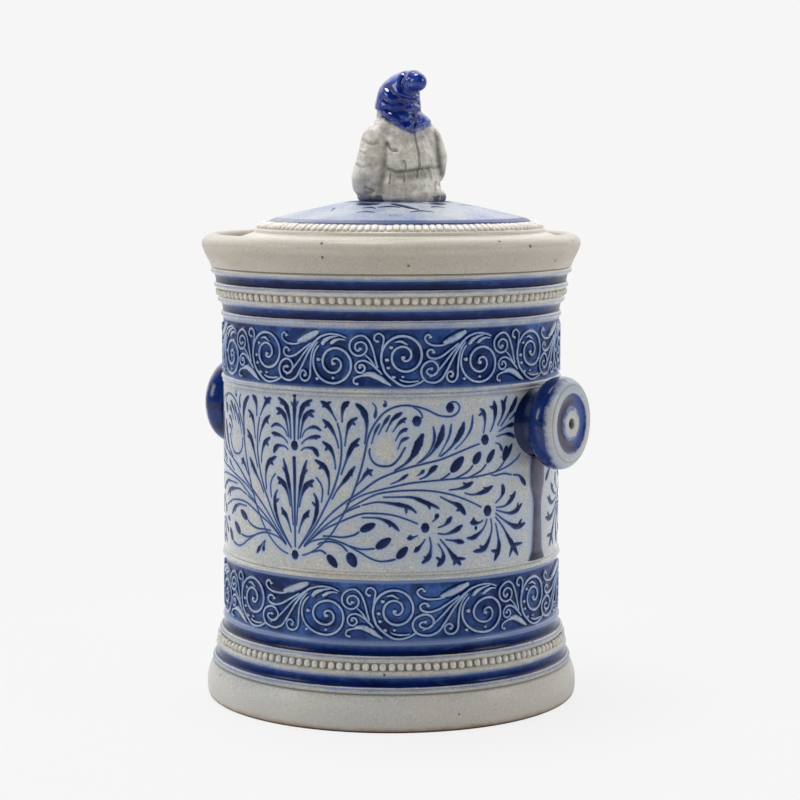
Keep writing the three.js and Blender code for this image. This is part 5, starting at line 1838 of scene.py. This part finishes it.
class JAR_OT_sprays(PieceOperator, bpy.types.Operator):
    """Incise the spray on the front and back panels"""

    bl_idname = "tobacco_jar.sprays"
    bl_label = "Panel Sprays"

    def make(self):
        for name, turn in (("front_spray", 0.0), ("back_spray", math.pi)):
            drawing = Drawing(STROKE_SECTION, sizes().stroke_lip / MM)
            draw_spray(drawing)
            spray = drawing.made(name, on_wall(WALL_RADIUS, turn))
            join_frame(spray, "jar", "cobalt_glaze", finish("stroke_glaze", stroke_finish))


class JAR_OT_handles(PieceOperator, bpy.types.Operator):
    """Turn the spool handles and lay the straps under them"""

    bl_idname = "tobacco_jar.handles"
    bl_label = "Handles"
    make = staticmethod(make_handles)


class JAR_OT_lid(PieceOperator, bpy.types.Operator):
    """Turn the lid with its beads and brush marks"""

    bl_idname = "tobacco_jar.lid"
    bl_label = "Lid"
    make = staticmethod(make_lid)


class JAR_OT_figure(PieceOperator, bpy.types.Operator):
    """Model the seated figure on the lid"""

    bl_idname = "tobacco_jar.figure"
    bl_label = "Figure"
    make = staticmethod(make_figure)


class JAR_OT_stage(PieceOperator, bpy.types.Operator):
    """Set the floor, lights and camera"""

    bl_idname = "tobacco_jar.stage"
    bl_label = "Stage"
    make = staticmethod(make_stage)


OPERATORS = (JAR_OT_wall, JAR_OT_beads, JAR_OT_friezes, JAR_OT_sprays, JAR_OT_handles, JAR_OT_lid,
             JAR_OT_figure, JAR_OT_stage)


class JAR_PT_panel(bpy.types.Panel):
    """The jar's sizes, colours and pieces"""

    bl_label = "Tobacco Jar"
    bl_idname = "JAR_PT_panel"
    bl_space_type = "VIEW_3D"
    bl_region_type = "UI"
    bl_category = "Tobacco Jar"

    def draw(self, context):
        layout = self.layout
        for group in (context.scene.jar_sizes, context.scene.jar_colours):
            for name in group.__annotations__:
                layout.prop(group, name)
        for operator in OPERATORS:
            layout.operator(operator.bl_idname)


CLASSES = (JarSizes, JarColours, *OPERATORS, JAR_PT_panel)


def register():
    for item in CLASSES:
        bpy.utils.register_class(item)
    bpy.types.Scene.jar_sizes = bpy.props.PointerProperty(type=JarSizes)
    bpy.types.Scene.jar_colours = bpy.props.PointerProperty(type=JarColours)


def unregister():
    del bpy.types.Scene.jar_sizes
    del bpy.types.Scene.jar_colours
    for item in reversed(CLASSES):
        bpy.utils.unregister_class(item)


def main():
    register()
    bpy.ops.tobacco_jar.wall()
    bpy.ops.tobacco_jar.beads()
    bpy.ops.tobacco_jar.friezes()
    bpy.ops.tobacco_jar.sprays()
    bpy.ops.tobacco_jar.handles()
    bpy.ops.tobacco_jar.lid()
    bpy.ops.tobacco_jar.figure()
    bpy.ops.tobacco_jar.stage()


if __name__ == "__main__":
    main()
